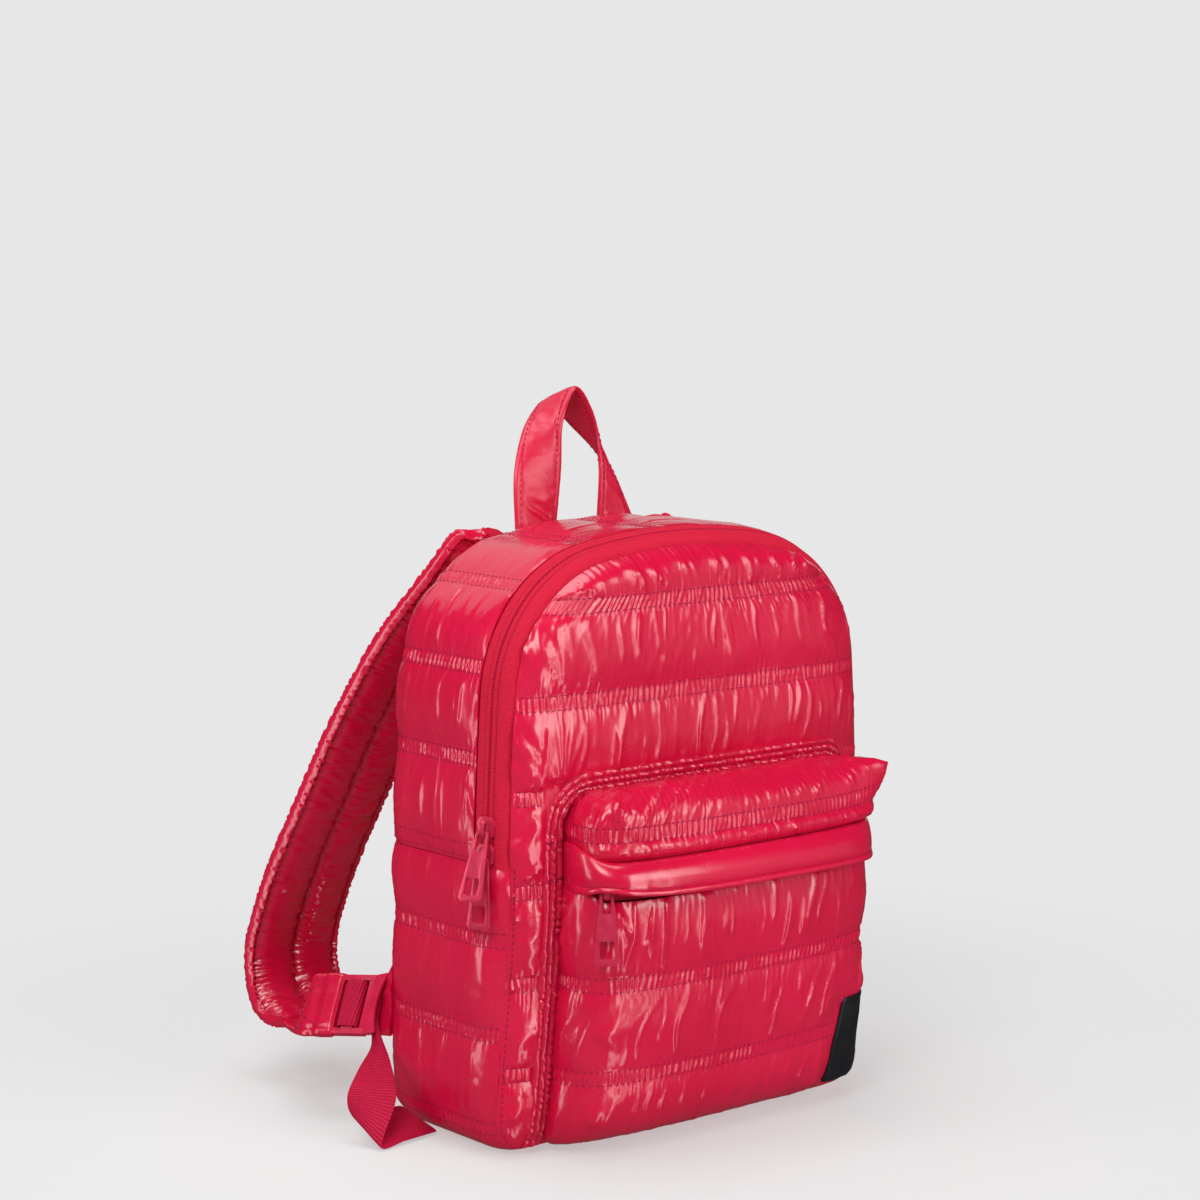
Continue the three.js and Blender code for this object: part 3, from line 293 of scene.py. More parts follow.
# Lights and floor, in metres: name, place, target, width, height and power of each light
LIGHTS = (
    ("key", (-1.5, -0.9, 1.5), (0, 0, 0.16), 0.9, 0.9, 21),
    ("front_fill", (0.6, -1.9, 1.0), (0, 0, 0.15), 1.2, 0.9, 12.5),
    ("top", (-0.2, 0.1, 1.6), (0, 0, 0.15), 1.1, 1.1, 15),
    ("front_strip", (0.05, -1.9, 0.3), (0, 0, 0.15), 0.3, 2.0, 10.5),
    ("right_strip", (0.62, -1.8, 0.3), (0, 0, 0.15), 0.14, 1.8, 4.5),
    ("under_strip", (0.05, -1.5, -0.9), (0, 0, 0.15), 0.25, 1.2, 5),
    ("side_strip", (-1.8, 0.7, 0.4), (0, 0, 0.15), 0.4, 1.7, 10),
    ("low_panel", (1.3, -1.5, 0.25), (0, -0.05, 0.15), 1.5, 1.0, 1.1),
    ("rear_panel", (1.1, 1.35, 0.5), (0, 0, 0.25), 1.8, 0.8, 2.5),
    ("rear_top", (0.1, 1.5, 1.45), (0, 0, 0.28), 1.6, 0.9, 3),
)
FLOOR_HALF = 6.0
FLOOR_ALBEDO = 0.79
FLOOR_GLOW = dict(From_Min=0.22, From_Max=0.6, To_Min=0.55)
SKY_LIGHT = 0.06


def smooth(value, low, high):
    share = np.clip((np.asarray(value, float) - low) / (high - low), 0, 1)
    return share * share * (3 - 2 * share)


class Noise:
    """Smooth values between -1 and 1 over a plane, the same on every run."""

    def __init__(self, seed):
        self.table = np.random.RandomState(seed).uniform(-1, 1, (NOISE_SIZE, NOISE_SIZE))

    def corner(self, column, row):
        return self.table[column % NOISE_SIZE, row % NOISE_SIZE]

    def at(self, x, y):
        x, y = np.broadcast_arrays(np.asarray(x, float), np.asarray(y, float))
        column, row = np.floor(x).astype(int), np.floor(y).astype(int)
        fx, fy = smooth(x - column, 0, 1), smooth(y - row, 0, 1)
        low = self.corner(column, row) * (1 - fx) + self.corner(column + 1, row) * fx
        high = self.corner(column, row + 1) * (1 - fx) + self.corner(column + 1, row + 1) * fx
        return low * (1 - fy) + high * fy


# The main body's surface


def outline_from(distance, top):
    distance = np.asarray(distance, float)
    side = np.where(distance < 0, -1.0, 1.0)
    left = np.abs(distance)
    x, z, heading = np.zeros_like(left), np.full_like(left, top), np.zeros_like(left)
    for radius, turn in OUTLINE:
        used = np.minimum(left, radius * math.radians(turn))
        end = heading + used / radius
        x = x + radius * (np.sin(end) - np.sin(heading))
        z = z - radius * (np.cos(heading) - np.cos(end))
        heading, left = end, left - used
    return side * (x - left), z, side * np.sin(heading), np.cos(heading)


ARCS_LENGTH = sum(radius * math.radians(turn) for radius, turn in OUTLINE)
BODY_HEIGHT = float(-outline_from(ARCS_LENGTH, 0.0)[1])
HALF_GIRTH = ARCS_LENGTH + float(outline_from(ARCS_LENGTH, 0.0)[0])


def outline_at(distance):
    return outline_from(distance, BODY_HEIGHT)


def seam_drop(z):
    return FOOT_EDGE_DROP + (EDGE_DROP - FOOT_EDGE_DROP) * smooth(z, 0, FULL_DROP_Z)


PROBES = np.linspace(0, ARCS_LENGTH, OUTLINE_PROBES)
_, PROBE_Z, _, PROBE_NZ = outline_at(PROBES)
PROBE_SEAM_Z = PROBE_Z - seam_drop(PROBE_Z) * PROBE_NZ


def distance_at_height(z, on_seam):
    heights = PROBE_SEAM_Z if on_seam else PROBE_Z
    return np.interp(z, heights[::-1], PROBES[::-1])


def front_seam_y(z):
    return FRONT_SEAM_Y + FRONT_TUCK * (1 - smooth(z, 0, FRONT_TUCK_HEIGHT))


def body_skin(distance, y, lift):
    x, z, nx, nz = outline_at(distance)
    front = front_seam_y(z)
    share = np.abs(y - (BACK_SEAM_Y + front) / 2) / ((BACK_SEAM_Y - front) / 2)
    drop = seam_drop(z) * (np.maximum(0, share - FLAT_SHARE) / (1 - FLAT_SHARE)) ** 2
    out = lift - drop
    return np.stack(np.broadcast_arrays(x + nx * out, y, z + nz * out), -1)


SEAM_DISTANCE = float(distance_at_height(GUSSET_SEAM_Z, False))
PANEL_LOW_Z = FOOT_EDGE_DROP
PANEL_TOP_Z = BODY_HEIGHT - EDGE_DROP
CHORD_DISTANCE = float(distance_at_height(PANEL_CHORD_Z, True))


def panel_edge(distance):
    x, z, nx, nz = outline_at(distance)
    inset = seam_drop(z)
    return x - inset * nx, z - inset * nz


def panel_half_width(z):
    return panel_edge(distance_at_height(z, True))[0]


def panel_point(across, level):
    straight = np.minimum(level, PANEL_CHORD_Z)
    cap = np.maximum(0, (level - PANEL_CHORD_Z) / (PANEL_TOP_Z - PANEL_CHORD_Z))
    arch_x, arch_z = panel_edge(across * CHORD_DISTANCE)
    x = across * panel_half_width(straight) * (1 - cap) + arch_x * cap
    z = straight * (1 - cap) + arch_z * cap
    low = np.maximum(0, 1 - (level - PANEL_LOW_Z) / PANEL_EDGE_FADE)
    fade = (1 - np.abs(across) ** PANEL_SIDE_POWER) * (1 - cap ** PANEL_END_POWER)
    return x, z, fade * (1 - low ** PANEL_END_POWER)


def front_face_y(x, z):
    level = np.maximum(z, PANEL_LOW_Z)
    across = np.clip(x / panel_half_width(np.minimum(level, PANEL_CHORD_Z)), -1, 1)
    _, height, fade = panel_point(across, np.minimum(level, PANEL_CHORD_Z))
    return front_seam_y(height) - FRONT_DOME * fade


def pocket_skin(across, level, lift):
    across, level, lift = np.broadcast_arrays(*(np.asarray(v, float) for v in (across, level, lift)))
    angle = np.abs(across) * math.pi / 2
    sine, cosine = np.sin(angle), np.maximum(0, np.cos(angle))
    levels = POCKET_SECTIONS[:, 0]
    z, half, reach, tilt = (np.interp(level, levels, POCKET_SECTIONS[:, k]) for k in (1, 2, 3, 4))
    tilt = np.radians(tilt)
    outward = lift * np.cos(tilt)
    height = z + lift * np.sin(tilt)
    root = front_face_y(half, height) - POCKET_STANDOFF
    bulge = POCKET_SIDE_BULGE * np.minimum(1, reach / POCKET_BULGE_REACH) * np.sin(2 * angle)
    x = half * sine ** POCKET_SQUARENESS + bulge + outward * sine
    y = root - reach * cosine ** POCKET_SQUARENESS - outward * cosine
    return np.stack([np.sign(across) * x, y, height], -1)


def pocket_corner(across, level):
    beside = (np.abs(across) - POCKET_CORNER["across"]) / POCKET_CORNER["spread"]
    above = level - POCKET_CORNER["level"]
    above = above / np.where(above > 0, POCKET_CORNER["rise"], POCKET_CORNER["fall"])
    lift = np.where(across < 0, POCKET_CORNER["left"], POCKET_CORNER["right"])
    return lift * np.exp(-POCKET_CORNER["steep"] * np.hypot(beside, above))


# Curves through points


def curve(points, shares):
    """Points and directions of a smooth line through points, at shares from 0 to 1."""
    points = np.asarray(points, float)
    count = len(points)
    padded = np.vstack([2 * points[0] - points[1], points, 2 * points[-1] - points[-2]])
    place = np.clip(np.asarray(shares, float), 0, 1) * (count - 1)
    cell = np.minimum(place.astype(int), count - 2)
    w = (place - cell)[:, None]
    p0, p1, p2, p3 = (padded[cell + k] for k in range(4))
    d0, d1, d2 = (np.sqrt(np.linalg.norm(b - a, axis=1))[:, None] for a, b in ((p0, p1), (p1, p2), (p2, p3)))
    t1 = ((p1 - p0) / d0 - (p2 - p0) / (d0 + d1) + (p2 - p1) / d1) * d1
    t2 = ((p2 - p1) / d1 - (p3 - p1) / (d1 + d2) + (p3 - p2) / d2) * d1
    c2 = -3 * p1 + 3 * p2 - 2 * t1 - t2
    c3 = 2 * p1 - 2 * p2 + t1 + t2
    where = p1 + t1 * w + c2 * w ** 2 + c3 * w ** 3
    heading = t1 + 2 * c2 * w + 3 * c3 * w ** 2
    return where, heading / np.linalg.norm(heading, axis=1)[:, None]


def run_along(points):
    """How far each point is along a line of points."""
    return np.concatenate([[0], np.cumsum(np.linalg.norm(np.diff(points, axis=0), axis=1))])


def run_across(P):
    """How far each column of a grid is along its row."""
    steps = np.linalg.norm(np.diff(P, axis=1), axis=2)
    return np.concatenate([np.zeros((len(P), 1)), np.cumsum(steps, 1)], 1)


def even_shares(points, count):
    """Shares of a curve that lie at even distances along it."""
    fine = np.linspace(0, 1, CURVE_PROBES)
    run = run_along(curve(points, fine)[0])
    return np.interp(np.linspace(0, run[-1], count), run, fine)


def unit(vectors):
    return vectors / np.maximum(np.linalg.norm(vectors, axis=-1, keepdims=True), 1e-12)


def mirrored(points, side):
    return np.asarray(points, float) * (side, 1, 1)


# Meshes from grids


def grid_normals(P):
    return unit(np.cross(np.gradient(P, axis=0), np.gradient(P, axis=1)))


def normals_towards(P, axis, way):
    """A grid's normals, turned to point mostly one way along an axis, and whether they were turned."""
    normals = grid_normals(P)
    turned = bool(way * normals[:, :, axis].mean() < 0)
    return (-normals if turned else normals), turned


def finer(P, times):
    """The grid with new columns halfway between its own, on smooth lines through them."""
    if times == 0:
        return P
    padded = np.concatenate([2 * P[:, :1] - P[:, 1:2], P, 2 * P[:, -1:] - P[:, -2:-1]], 1)
    middle = (9 * (padded[:, 1:-2] + padded[:, 2:-1]) - padded[:, :-3] - padded[:, 3:]) / 16
    out = np.empty((P.shape[0], 2 * P.shape[1] - 1, 3))
    out[:, 0::2], out[:, 1::2] = P, middle
    return finer(out, times - 1)


def make_object(name, vertices, faces, uvs=None, sharp=SHARP_ANGLE):
    mesh = bpy.data.meshes.new(name)
    mesh.from_pydata((np.asarray(vertices) * MM).tolist(), [], faces)
    mesh.validate()
    if uvs is not None:
        layer = mesh.uv_layers.new(name="cloth")
        index = np.empty(len(mesh.loops), int)
        mesh.loops.foreach_get("vertex_index", index)
        layer.data.foreach_set("uv", np.asarray(uvs, np.float32)[index].ravel())
    mesh.shade_smooth()
    if sharp:
        mesh.set_sharp_from_angle(angle=math.radians(sharp))
    made = bpy.data.objects.new(name, mesh)
    bpy.context.scene.collection.objects.link(made)
    return made


def grid_quads(index):
    return np.stack([index[:-1, :-1], index[1:, :-1], index[1:, 1:], index[:-1, 1:]], -1).reshape(-1, 4)


def ring_quads(index):
    following = np.roll(index, -1, 1)
    return np.stack([index[:-1], following[:-1], following[1:], index[1:]], -1).reshape(-1, 4)


def coarse(count):
    return sorted(set(range(0, count, BACKING_STEP)) | {count - 1})


def shell(name, outer, inner, uvs=None, flip=False):
    """A closed piece: a fine outer grid, a coarse inner one and a rim between them."""
    rows, columns = outer.shape[:2]
    fine = np.arange(rows * columns).reshape(rows, columns)
    ri, ci = coarse(rows), coarse(columns)
    back = inner[np.ix_(ri, ci)]
    far = rows * columns + np.arange(len(ri) * len(ci)).reshape(len(ri), len(ci))
    faces = grid_quads(fine).tolist() + grid_quads(far)[:, ::-1].tolist()
    borders = (
        (fine[:, 0], far[:, 0], ri, True), (fine[:, -1], far[:, -1], ri, False),
        (fine[0], far[0], ci, False), (fine[-1], far[-1], ci, True),
    )
    for near, deep, index, turn in borders:
        made = []
        for k, (a, b) in enumerate(zip(index[:-1], index[1:])):
            middle = (a + b) // 2
            made += [(near[j], near[j + 1], deep[k]) for j in range(a, middle)]
            made += [(near[j], near[j + 1], deep[k + 1]) for j in range(middle, b)]
            made.append((near[middle], deep[k + 1], deep[k]))
        faces += [tuple(int(v) for v in (f[::-1] if turn else f)) for f in made]
    vertices = np.concatenate([outer.reshape(-1, 3), back.reshape(-1, 3)])
    if flip:
        faces = [tuple(f)[::-1] for f in faces]
    if uvs is not None:
        uvs = np.concatenate([uvs.reshape(-1, 2), uvs[np.ix_(ri, ci)].reshape(-1, 2)])
    return make_object(name, vertices, faces, uvs)


def tube(name, rings, uvs=None):
    """A closed piece from rings of points, with flat ends."""
    index = np.arange(rings.shape[0] * rings.shape[1]).reshape(rings.shape[:2])
    faces = ring_quads(index).tolist() + [index[0][::-1].tolist(), index[-1].tolist()]
    return make_object(name, rings.reshape(-1, 3), faces, uvs)


# Stitches

THREADS = {}


def add_stitches(piece, points, normals, pitch=3.2, length=2.3, radius=0.42, sink=0.1):
    """Short lengths of thread along a line on a surface, kept for one piece."""
    points, normals = np.asarray(points, float), unit(np.asarray(normals, float))
    run = run_along(points)
    count = int(run[-1] / pitch)
    if count < 1:
        return
    starts = (np.arange(count) + 0.5) * run[-1] / count

    def take(values, at):
        return np.stack([np.interp(at, run, values[:, k]) for k in range(3)], -1)

    centre, out = take(points, starts), unit(take(normals, starts))
    ahead = unit(take(points, starts + 0.5 * length) - take(points, starts - 0.5 * length))
    aside = unit(np.cross(out, ahead))
    out = np.cross(ahead, aside)
    turn = np.arange(STITCH_RING) * 2 * math.pi / STITCH_RING
    rings = []
    for along, size, rise in STITCH_PROFILE:
        middle = centre + ahead * (along * length) + out * (rise * radius - sink)
        ring = aside[:, None] * np.cos(turn)[:, None] + out[:, None] * np.sin(turn)[:, None]
        rings.append(middle[:, None] + ring * radius * size)
    vertices = np.stack(rings, 1).reshape(count, -1, 3)
    THREADS.setdefault(piece, []).append(vertices)


def thread_piece(piece):
    blocks = np.concatenate(THREADS[piece])
    each = blocks.shape[1]
    index = np.arange(each).reshape(-1, STITCH_RING)
    shift = (np.arange(len(blocks)) * each)[:, None, None]
    faces = (ring_quads(index)[None] + shift).reshape(-1, 4).tolist()
    caps = np.stack([index[0][::-1], index[-1]])
    faces += (caps[None] + shift).reshape(-1, STITCH_RING).tolist()
    made = make_object(piece, blocks.reshape(-1, 3), faces, sharp=None)
    finish_piece(made, "bag", THREAD, "shell")


# Quilted panels


def loose(s, t):
    """How free the cloth of a panel is that isn't held anywhere but at its rows."""
    return 1.0


class Panel:
    """A sewn panel: its grid of places, where its rows are and how its cloth is held."""

    def __init__(
        self, name, base, ends, pairs, s, seed, step=GRID_STEP, hold=loose, folds=None, over_top=None,
        plain=None,
    ):
        self.name, self.pairs, self.s, self.seed, self.hold = name, pairs, s, seed, hold
        self.folds = {**FOLDS, **(folds or {})}
        points = sorted({*ends, *(v for pair in pairs for v in pair), *(plain or ())})
        self.t = spread(points, step, plain)
        self.slack = hold(s[None, :], self.t[:, None])
        self.P = base(self.t[:, None], s[None, :])
        self.run = run_across(self.P)
        normals = grid_normals(self.P)
        self.flip = bool((normals * (self.P - np.array(BODY_MIDDLE))).sum(-1).mean() < 0)
        self.N = -normals if self.flip else normals
        self.share, self.band, self.near, self.cell = row_places(self.t, points, pairs)
        self.row = self.cell + (self.share > 0.5)
        self.fills = np.array([self.folds["fills"].get(int(cell), 1.0) for cell in self.cell])
        rising = True if over_top is None else (self.t < 0) == over_top
        self.down = np.where(rising, 1 - self.share, self.share)


def spread(points, step, plain):
    """Values at even steps between the points, with wider steps in the plain part."""
    out = []
    for a, b in zip(points[:-1], points[1:]):
        wide = PLAIN_STEP if (a, b) == plain else step
        count = max(2, int(round((b - a) / wide)))
        out += list(a + (b - a) * np.arange(count) / count)
    return np.array(out + [points[-1]])


def row_places(t, points, pairs):
    """Share of the way between two rows, whether they are a pair, distance to the nearer one and cell."""
    points = np.asarray(points, float)
    cell = np.clip(np.searchsorted(points, t + 1e-9, "right") - 1, 0, len(points) - 2)
    low, high = points[cell], points[cell + 1]
    share = np.clip((t - low) / (high - low), 0, 1)
    bands = np.array([
        any(abs(a - p) < TINY and abs(b - q) < TINY for p, q in pairs) for a, b in zip(low, high)
    ])
    return share, bands, np.minimum(t - low, high - t), cell


def channel_puff(panel, height):
    """How far the cloth stands out where the channels are full."""
    side = np.minimum(panel.run, panel.run[:, -1:] - panel.run)
    edge = np.sqrt(np.clip(side / PUFF_EDGE, 0, 1))
    fill = np.where(panel.band, BAND_PUFF, 1.0) * np.sin(math.pi * panel.share) ** 0.6
    fill = fill * panel.fills
    return height * fill[:, None] * edge * panel.slack


def long_creases(panel):
    noise, warp = Noise(panel.seed), Noise(panel.seed + 1)
    t = panel.t[:, None]
    bent = panel.run + 5 * warp.at(panel.run / 30, t / 26)
    crest = 1 - 2 * np.abs(noise.at(bent / 9, t / 45 + 3.7 * panel.row[:, None]))
    fill = np.where(panel.band, 0, np.sin(math.pi * panel.share) ** 0.7)[:, None]
    return crest * fill * panel.slack


def pinned(panel):
    held = np.zeros(panel.P.shape[:2], bool)
    held[panel.near < TINY] = True
    held[:, 0] = held[:, -1] = True
    return held | (panel.slack < PINNED_BELOW)


def settle(panels):
    """Lets the cloth of the panels puff up and crease between its rows, and gives their grids."""
    scene = bpy.context.scene
    tasks = []
    for panel in panels:
        rng = np.random.RandomState(panel.seed)
        puffed = panel.P + panel.N * channel_puff(panel, START_PUFF)[..., None]
        start = puffed + panel.N * (START_CREASES * long_creases(panel))[..., None]
        held = pinned(panel)
        jitter = rng.uniform(-START_JITTER, START_JITTER, held.shape)
        start = start + panel.N * (jitter * ~held)[..., None]
        faces = grid_quads(np.arange(held.size).reshape(held.shape))
        if panel.flip:
            faces = faces[:, ::-1]
        mesh = bpy.data.meshes.new("settling")
        mesh.from_pydata((start.reshape(-1, 3) * CLOTH_SCALE).tolist(), [], faces.tolist())
        made = bpy.data.objects.new("settling", mesh)
        scene.collection.objects.link(made)
        made.shape_key_add(name="sewn")
        cut = made.shape_key_add(name="cut")
        cut.data.foreach_set("co", (cut_sheet(puffed) * CLOTH_SCALE).astype(np.float32).ravel())
        group = made.vertex_groups.new(name="held")
        group.add(np.flatnonzero(held).tolist(), 1.0, "REPLACE")
        cloth = made.modifiers.new("cloth", "CLOTH")
        set_cloth(cloth)
        cloth.settings.rest_shape_key = cut
        tasks.append((panel, made, start))
    scene.frame_start, scene.frame_end = 1, CLOTH_FRAMES
    for number in range(1, CLOTH_FRAMES + 1):
        scene.frame_set(number)
    shapes = {}
    graph = bpy.context.evaluated_depsgraph_get()
    for panel, made, start in tasks:
        settled = made.evaluated_get(graph).to_mesh()
        flat = np.empty(len(settled.vertices) * 3)
        settled.vertices.foreach_get("co", flat)
        moved = flat.reshape(start.shape) / CLOTH_SCALE - start
        length = np.linalg.norm(moved, axis=-1, keepdims=True)
        moved *= np.minimum(1, CLOTH_CAP / np.maximum(length, 1e-9))
        shapes[panel.name] = panel.P + (start + moved - panel.P) * panel.fills[:, None, None]
    for _, made, _ in tasks:
        mesh = made.data
        bpy.data.objects.remove(made)
        bpy.data.meshes.remove(mesh)
    scene.frame_set(1)
    return shapes


def cut_sheet(P):
    """The flat cloth that a grid was sewn from, with spare length along and between its rows."""
    along = run_across(P)
    along -= along[:, [P.shape[1] // 2]]
    down = np.linalg.norm(np.diff(P, axis=0), axis=2)
    down = np.concatenate([np.zeros((1, P.shape[1])), np.cumsum(down, 0)], 0)
    return np.stack([along * (1 + SPARE_ALONG), down * (1 + SPARE_DOWN), np.zeros_like(along)], -1)


def set_cloth(modifier):
    for key, value in CLOTH_SETTINGS.items():
        setattr(modifier.settings, key, value)
    modifier.settings.effector_weights.gravity = 0
    modifier.collision_settings.use_collision = False
    modifier.point_cache.frame_start = 1
    modifier.point_cache.frame_end = CLOTH_FRAMES


def long_wrinkles(panel, run):
    """Thin sharp ridges that cross the channels from row to row, and leaning ones at the first border."""
    rng = np.random.RandomState(panel.seed + 20)
    folds = panel.folds
    border = folds["border"]
    lift = np.zeros(run.shape)
    for cell in np.unique(panel.cell[~panel.band]):
        rows = np.flatnonzero((panel.cell == cell) & ~panel.band)
        down, where = panel.down[rows][:, None], run[rows]
        lean = folds["leans"].get(int(cell), folds["lean"])
        count = int(where.max() / folds["spacing"])
        starts = np.cumsum(folds["spacing"] * rng.uniform(*WRINKLE["gap"], count))
        tilts = rng.normal(lean, WRINKLE["tilt"], len(starts))
        if border:
            starts = np.concatenate([starts, rng.uniform(*WRINKLE["border_start"], border)])
            more = rng.uniform(*WRINKLE["border_tilt"], border) * folds["border_way"]
            tilts = np.concatenate([tilts, more])
        for start, tilt in zip(starts, tilts):
            size = folds["size"] * rng.uniform(*WRINKLE["size"]) ** 2.2
            width = folds["width"] * rng.uniform(*WRINKLE["width"])
            high, low = rng.uniform(*WRINKLE["high"]), rng.uniform(*WRINKLE["low"])
            path = start + tilt * (down - 0.2) + rng.normal(0, WRINKLE["bow"]) * np.sin(math.pi * down)
            path = path + rng.normal(0, WRINKLE["wave"]) * np.sin(3 * math.pi * down)
            off = where - path
            off = off / np.where(off < 0, width, width * rng.uniform(*WRINKLE["far_side"]))
            window = smooth(down, high, high + 0.3) * (1 - smooth(down, low - 0.35, low))
            lift[rows] += size * window / (1 + off * off)
    fade = 1 - np.exp(-panel.near / RIDGE_FADE)
    return lift * fade[:, None]


def ray_wrinkles(P, place, first, last, count, length, size, width, seed):
    """Ridges that run out from one held point, in the plane of width and height."""
    rng = np.random.RandomState(seed)
    x, z = P[..., 0] - place[0], P[..., 2] - place[1]
    lift = np.zeros(x.shape)
    for k in range(count):
        angle = math.radians(first + (last - first) * (k + rng.uniform(0.2, 0.8)) / count)
        along = x * math.cos(angle) + z * math.sin(angle)
        aside = z * math.cos(angle) - x * math.sin(angle)
        reach = length * rng.uniform(0.6, 1.2)
        window = smooth(along, 0, 6) * (1 - smooth(along, 0.35 * reach, reach))
        wide = width * (0.45 + np.maximum(along, 0) / reach)
        lift += size * rng.uniform(0.5, 1) * window / (1 + (aside / wide) ** 2)
    return lift


def strip_ridges(P, low, high, spacing, slope, size, width, middle, seed):
    """Ridges across the narrow strips beside the pocket, rising towards its welt."""
    rng = np.random.RandomState(seed)
    lift = np.zeros(P.shape[:2])
    for side in (-1, 1):
        beside = side * P[..., 0] - BINDING["half"]
        place = low
        while place < high:
            place += spacing * rng.uniform(0.4, 1.7)
            aside = beside - middle
            path = place - slope * rng.uniform(0.2, 1.8) * aside + rng.normal(0, 0.012) * aside ** 2
            near, far = rng.uniform(2, 11), rng.uniform(17, 27)
            window = smooth(beside, near, near + 4) * (1 - smooth(beside, far - 5, far))
            off = (P[..., 2] - path) / (width * rng.uniform(0.6, 1.7))
            lift += size * rng.uniform(0.3, 1) ** 1.6 * window / (1 + off * off)
    return lift


def beside_seam(distance, reach):
    """None on a seam, strongest just beside it, and fading over a reach."""
    return (1 - np.exp(-distance / SEAM_WIDTH)) * np.exp(-distance / reach)


def gathered(panel, P):
    """The finer grid with small gathers along its rows and borders and ribs between the paired rows."""
    P = finer(P, panel.folds["finer"])
    N = grid_normals(P) * (-1 if panel.flip else 1)
    run, down = run_across(P), run_along(P[:, P.shape[1] // 2])[:, None]
    noise, second, patch = (Noise(panel.seed + k) for k in (5, 6, 7))
    near, row = panel.near[:, None], panel.row[:, None]
    held = beside_seam(near, 3.2 + 2.4 * patch.at(run / 17, row * 5.3))
    strength = 0.55 + 0.45 * patch.at(run / 40, row * 3.1 + 9)
    fine = 0.6 - 1.7 * np.abs(noise.at(run / 2.1 + 0.3 * noise.at(run / 6, row), row * 11.7 + 0.02 * near))
    gather = panel.folds["gather"]
    lift = GATHER_HEIGHT * gather * held * strength * fine * np.where(panel.band, 0, 1)[:, None]
    rib = np.cos(2 * math.pi * (run + 1.6 * second.at(run / 7, row * 7.9)) / RIB_PITCH)
    arch = np.where(panel.band, np.sin(math.pi * panel.share), 0)[:, None]
    lift = lift + arch * RIB_HEIGHT * rib * (0.55 + 0.6 * strength)
    ridges = long_wrinkles(panel, run)
    if panel.folds["strips"]:
        beside = smooth(np.abs(P[..., 0]), BINDING["half"] - 2, BINDING["half"] + 2)
        beside = beside * (1 - smooth(P[..., 2], BINDING["top"] - 4, BINDING["top"] + 6))
        ridges = ridges * (1 - 0.75 * beside)
        ridges = ridges + strip_ridges(P, **panel.folds["strips"]) * beside * (1 - np.exp(-near / RIDGE_FADE))
    lift = lift + ridges
    for rays in panel.folds["rays"]:
        lift = lift + ray_wrinkles(P, **rays)
    side = np.minimum(run, run[:, -1:] - run)
    border = beside_seam(side, GATHER_REACH)
    left = run < run[:, -1:] / 2
    tuck = noise.at(down / 2.1 + 50, np.where(left, 3.3, 8.6) + 0.03 * side)
    lift = lift + BORDER_HEIGHT * gather * border * tuck * np.where(near < 0.1, 0.3, 1)
    s = np.interp(np.linspace(0, 1, P.shape[1]), np.linspace(0, 1, len(panel.s)), panel.s)[None, :]
    lift = lift * panel.hold(s, panel.t[:, None])
    return P + N * lift[..., None], N


def line_on(P, N, t_values, t, share):
    """The points and normals along a share of a grid's row at a value of t."""
    k = int(np.argmin(np.abs(t_values - t)))
    inset = int((1 - share) / 2 * P.shape[1])
    return P[k, inset:P.shape[1] - inset], N[k, inset:P.shape[1] - inset]


# Materials

NOISE, WAVE = "ShaderNodeTexNoise", "ShaderNodeTexWave"
WAVE_UNIT = math.pi / 10


def srgb(red, green, blue):
    """Linear values of an sRGB colour given in 0 to 255."""
    share = np.array((red, green, blue)) / 255
    line = np.where(share <= 0.04045, share / 12.92, ((share + 0.055) / 1.055) ** 2.4)
    return (*[float(v) for v in line], 1.0)


class Look:
    """A material in the making; its textures lie on the object's own coordinates unless place is changed."""

    def __init__(self, name, colour, roughness, **sockets):
        self.material = bpy.data.materials.new(name)
        self.material.use_nodes = True
        self.nodes, self.link = self.material.node_tree.nodes, self.material.node_tree.links.new
        self.shader = self.nodes["Principled BSDF"]
        self.shader.inputs["Base Color"].default_value = colour
        self.shader.inputs["Roughness"].default_value = roughness
        for key, value in sockets.items():
            self.shader.inputs[key.replace("_", " ")].default_value = value
        self.place = self.raised = None

    def add(self, kind, **settings):
        made = self.nodes.new(kind)
        for key, value in settings.items():
            if key.replace("_", " ") in made.inputs:
                made.inputs[key.replace("_", " ")].default_value = value
            else:
                setattr(made, key, value)
        return made

    def texture(self, kind, **settings):
        if self.place is None:
            self.place = self.add("ShaderNodeTexCoord").outputs["Object"]
        made = self.add(kind, **settings)
        self.link(self.place, made.inputs["Vector"])
        return made

    def colours(self, texture, dark, light, low, high):
        ramp = self.add("ShaderNodeValToRGB")
        for element, colour, at in zip(ramp.color_ramp.elements, (dark, light), (low, high)):
            element.color, element.position = colour, at
        self.link(texture.outputs["Fac"], ramp.inputs["Fac"])
        self.link(ramp.outputs["Color"], self.shader.inputs["Base Color"])

    def vary(self, dark, light, colour_scale):
        self.colours(self.texture(NOISE, Scale=colour_scale, Detail=3.0), dark, light, 0.3, 0.7)

    def vary_roughness(self, low, high, scale):
        between = self.add("ShaderNodeMapRange", To_Min=low, To_Max=high)
        self.link(self.texture(NOISE, Scale=scale, Detail=4.0).outputs["Fac"], between.inputs["Value"])
        self.link(between.outputs["Result"], self.shader.inputs["Roughness"])

    def raise_by(self, texture, strength, distance, output="Fac"):
        """Raises the surface by a texture, over what was raised before."""
        made = self.add("ShaderNodeBump", Strength=strength, Distance=distance)
        self.link(texture.outputs[output], made.inputs["Height"])
        if self.raised is not None:
            self.link(self.raised, made.inputs["Normal"])
        self.raised = made.outputs["Normal"]
        self.link(self.raised, self.shader.inputs["Normal"])


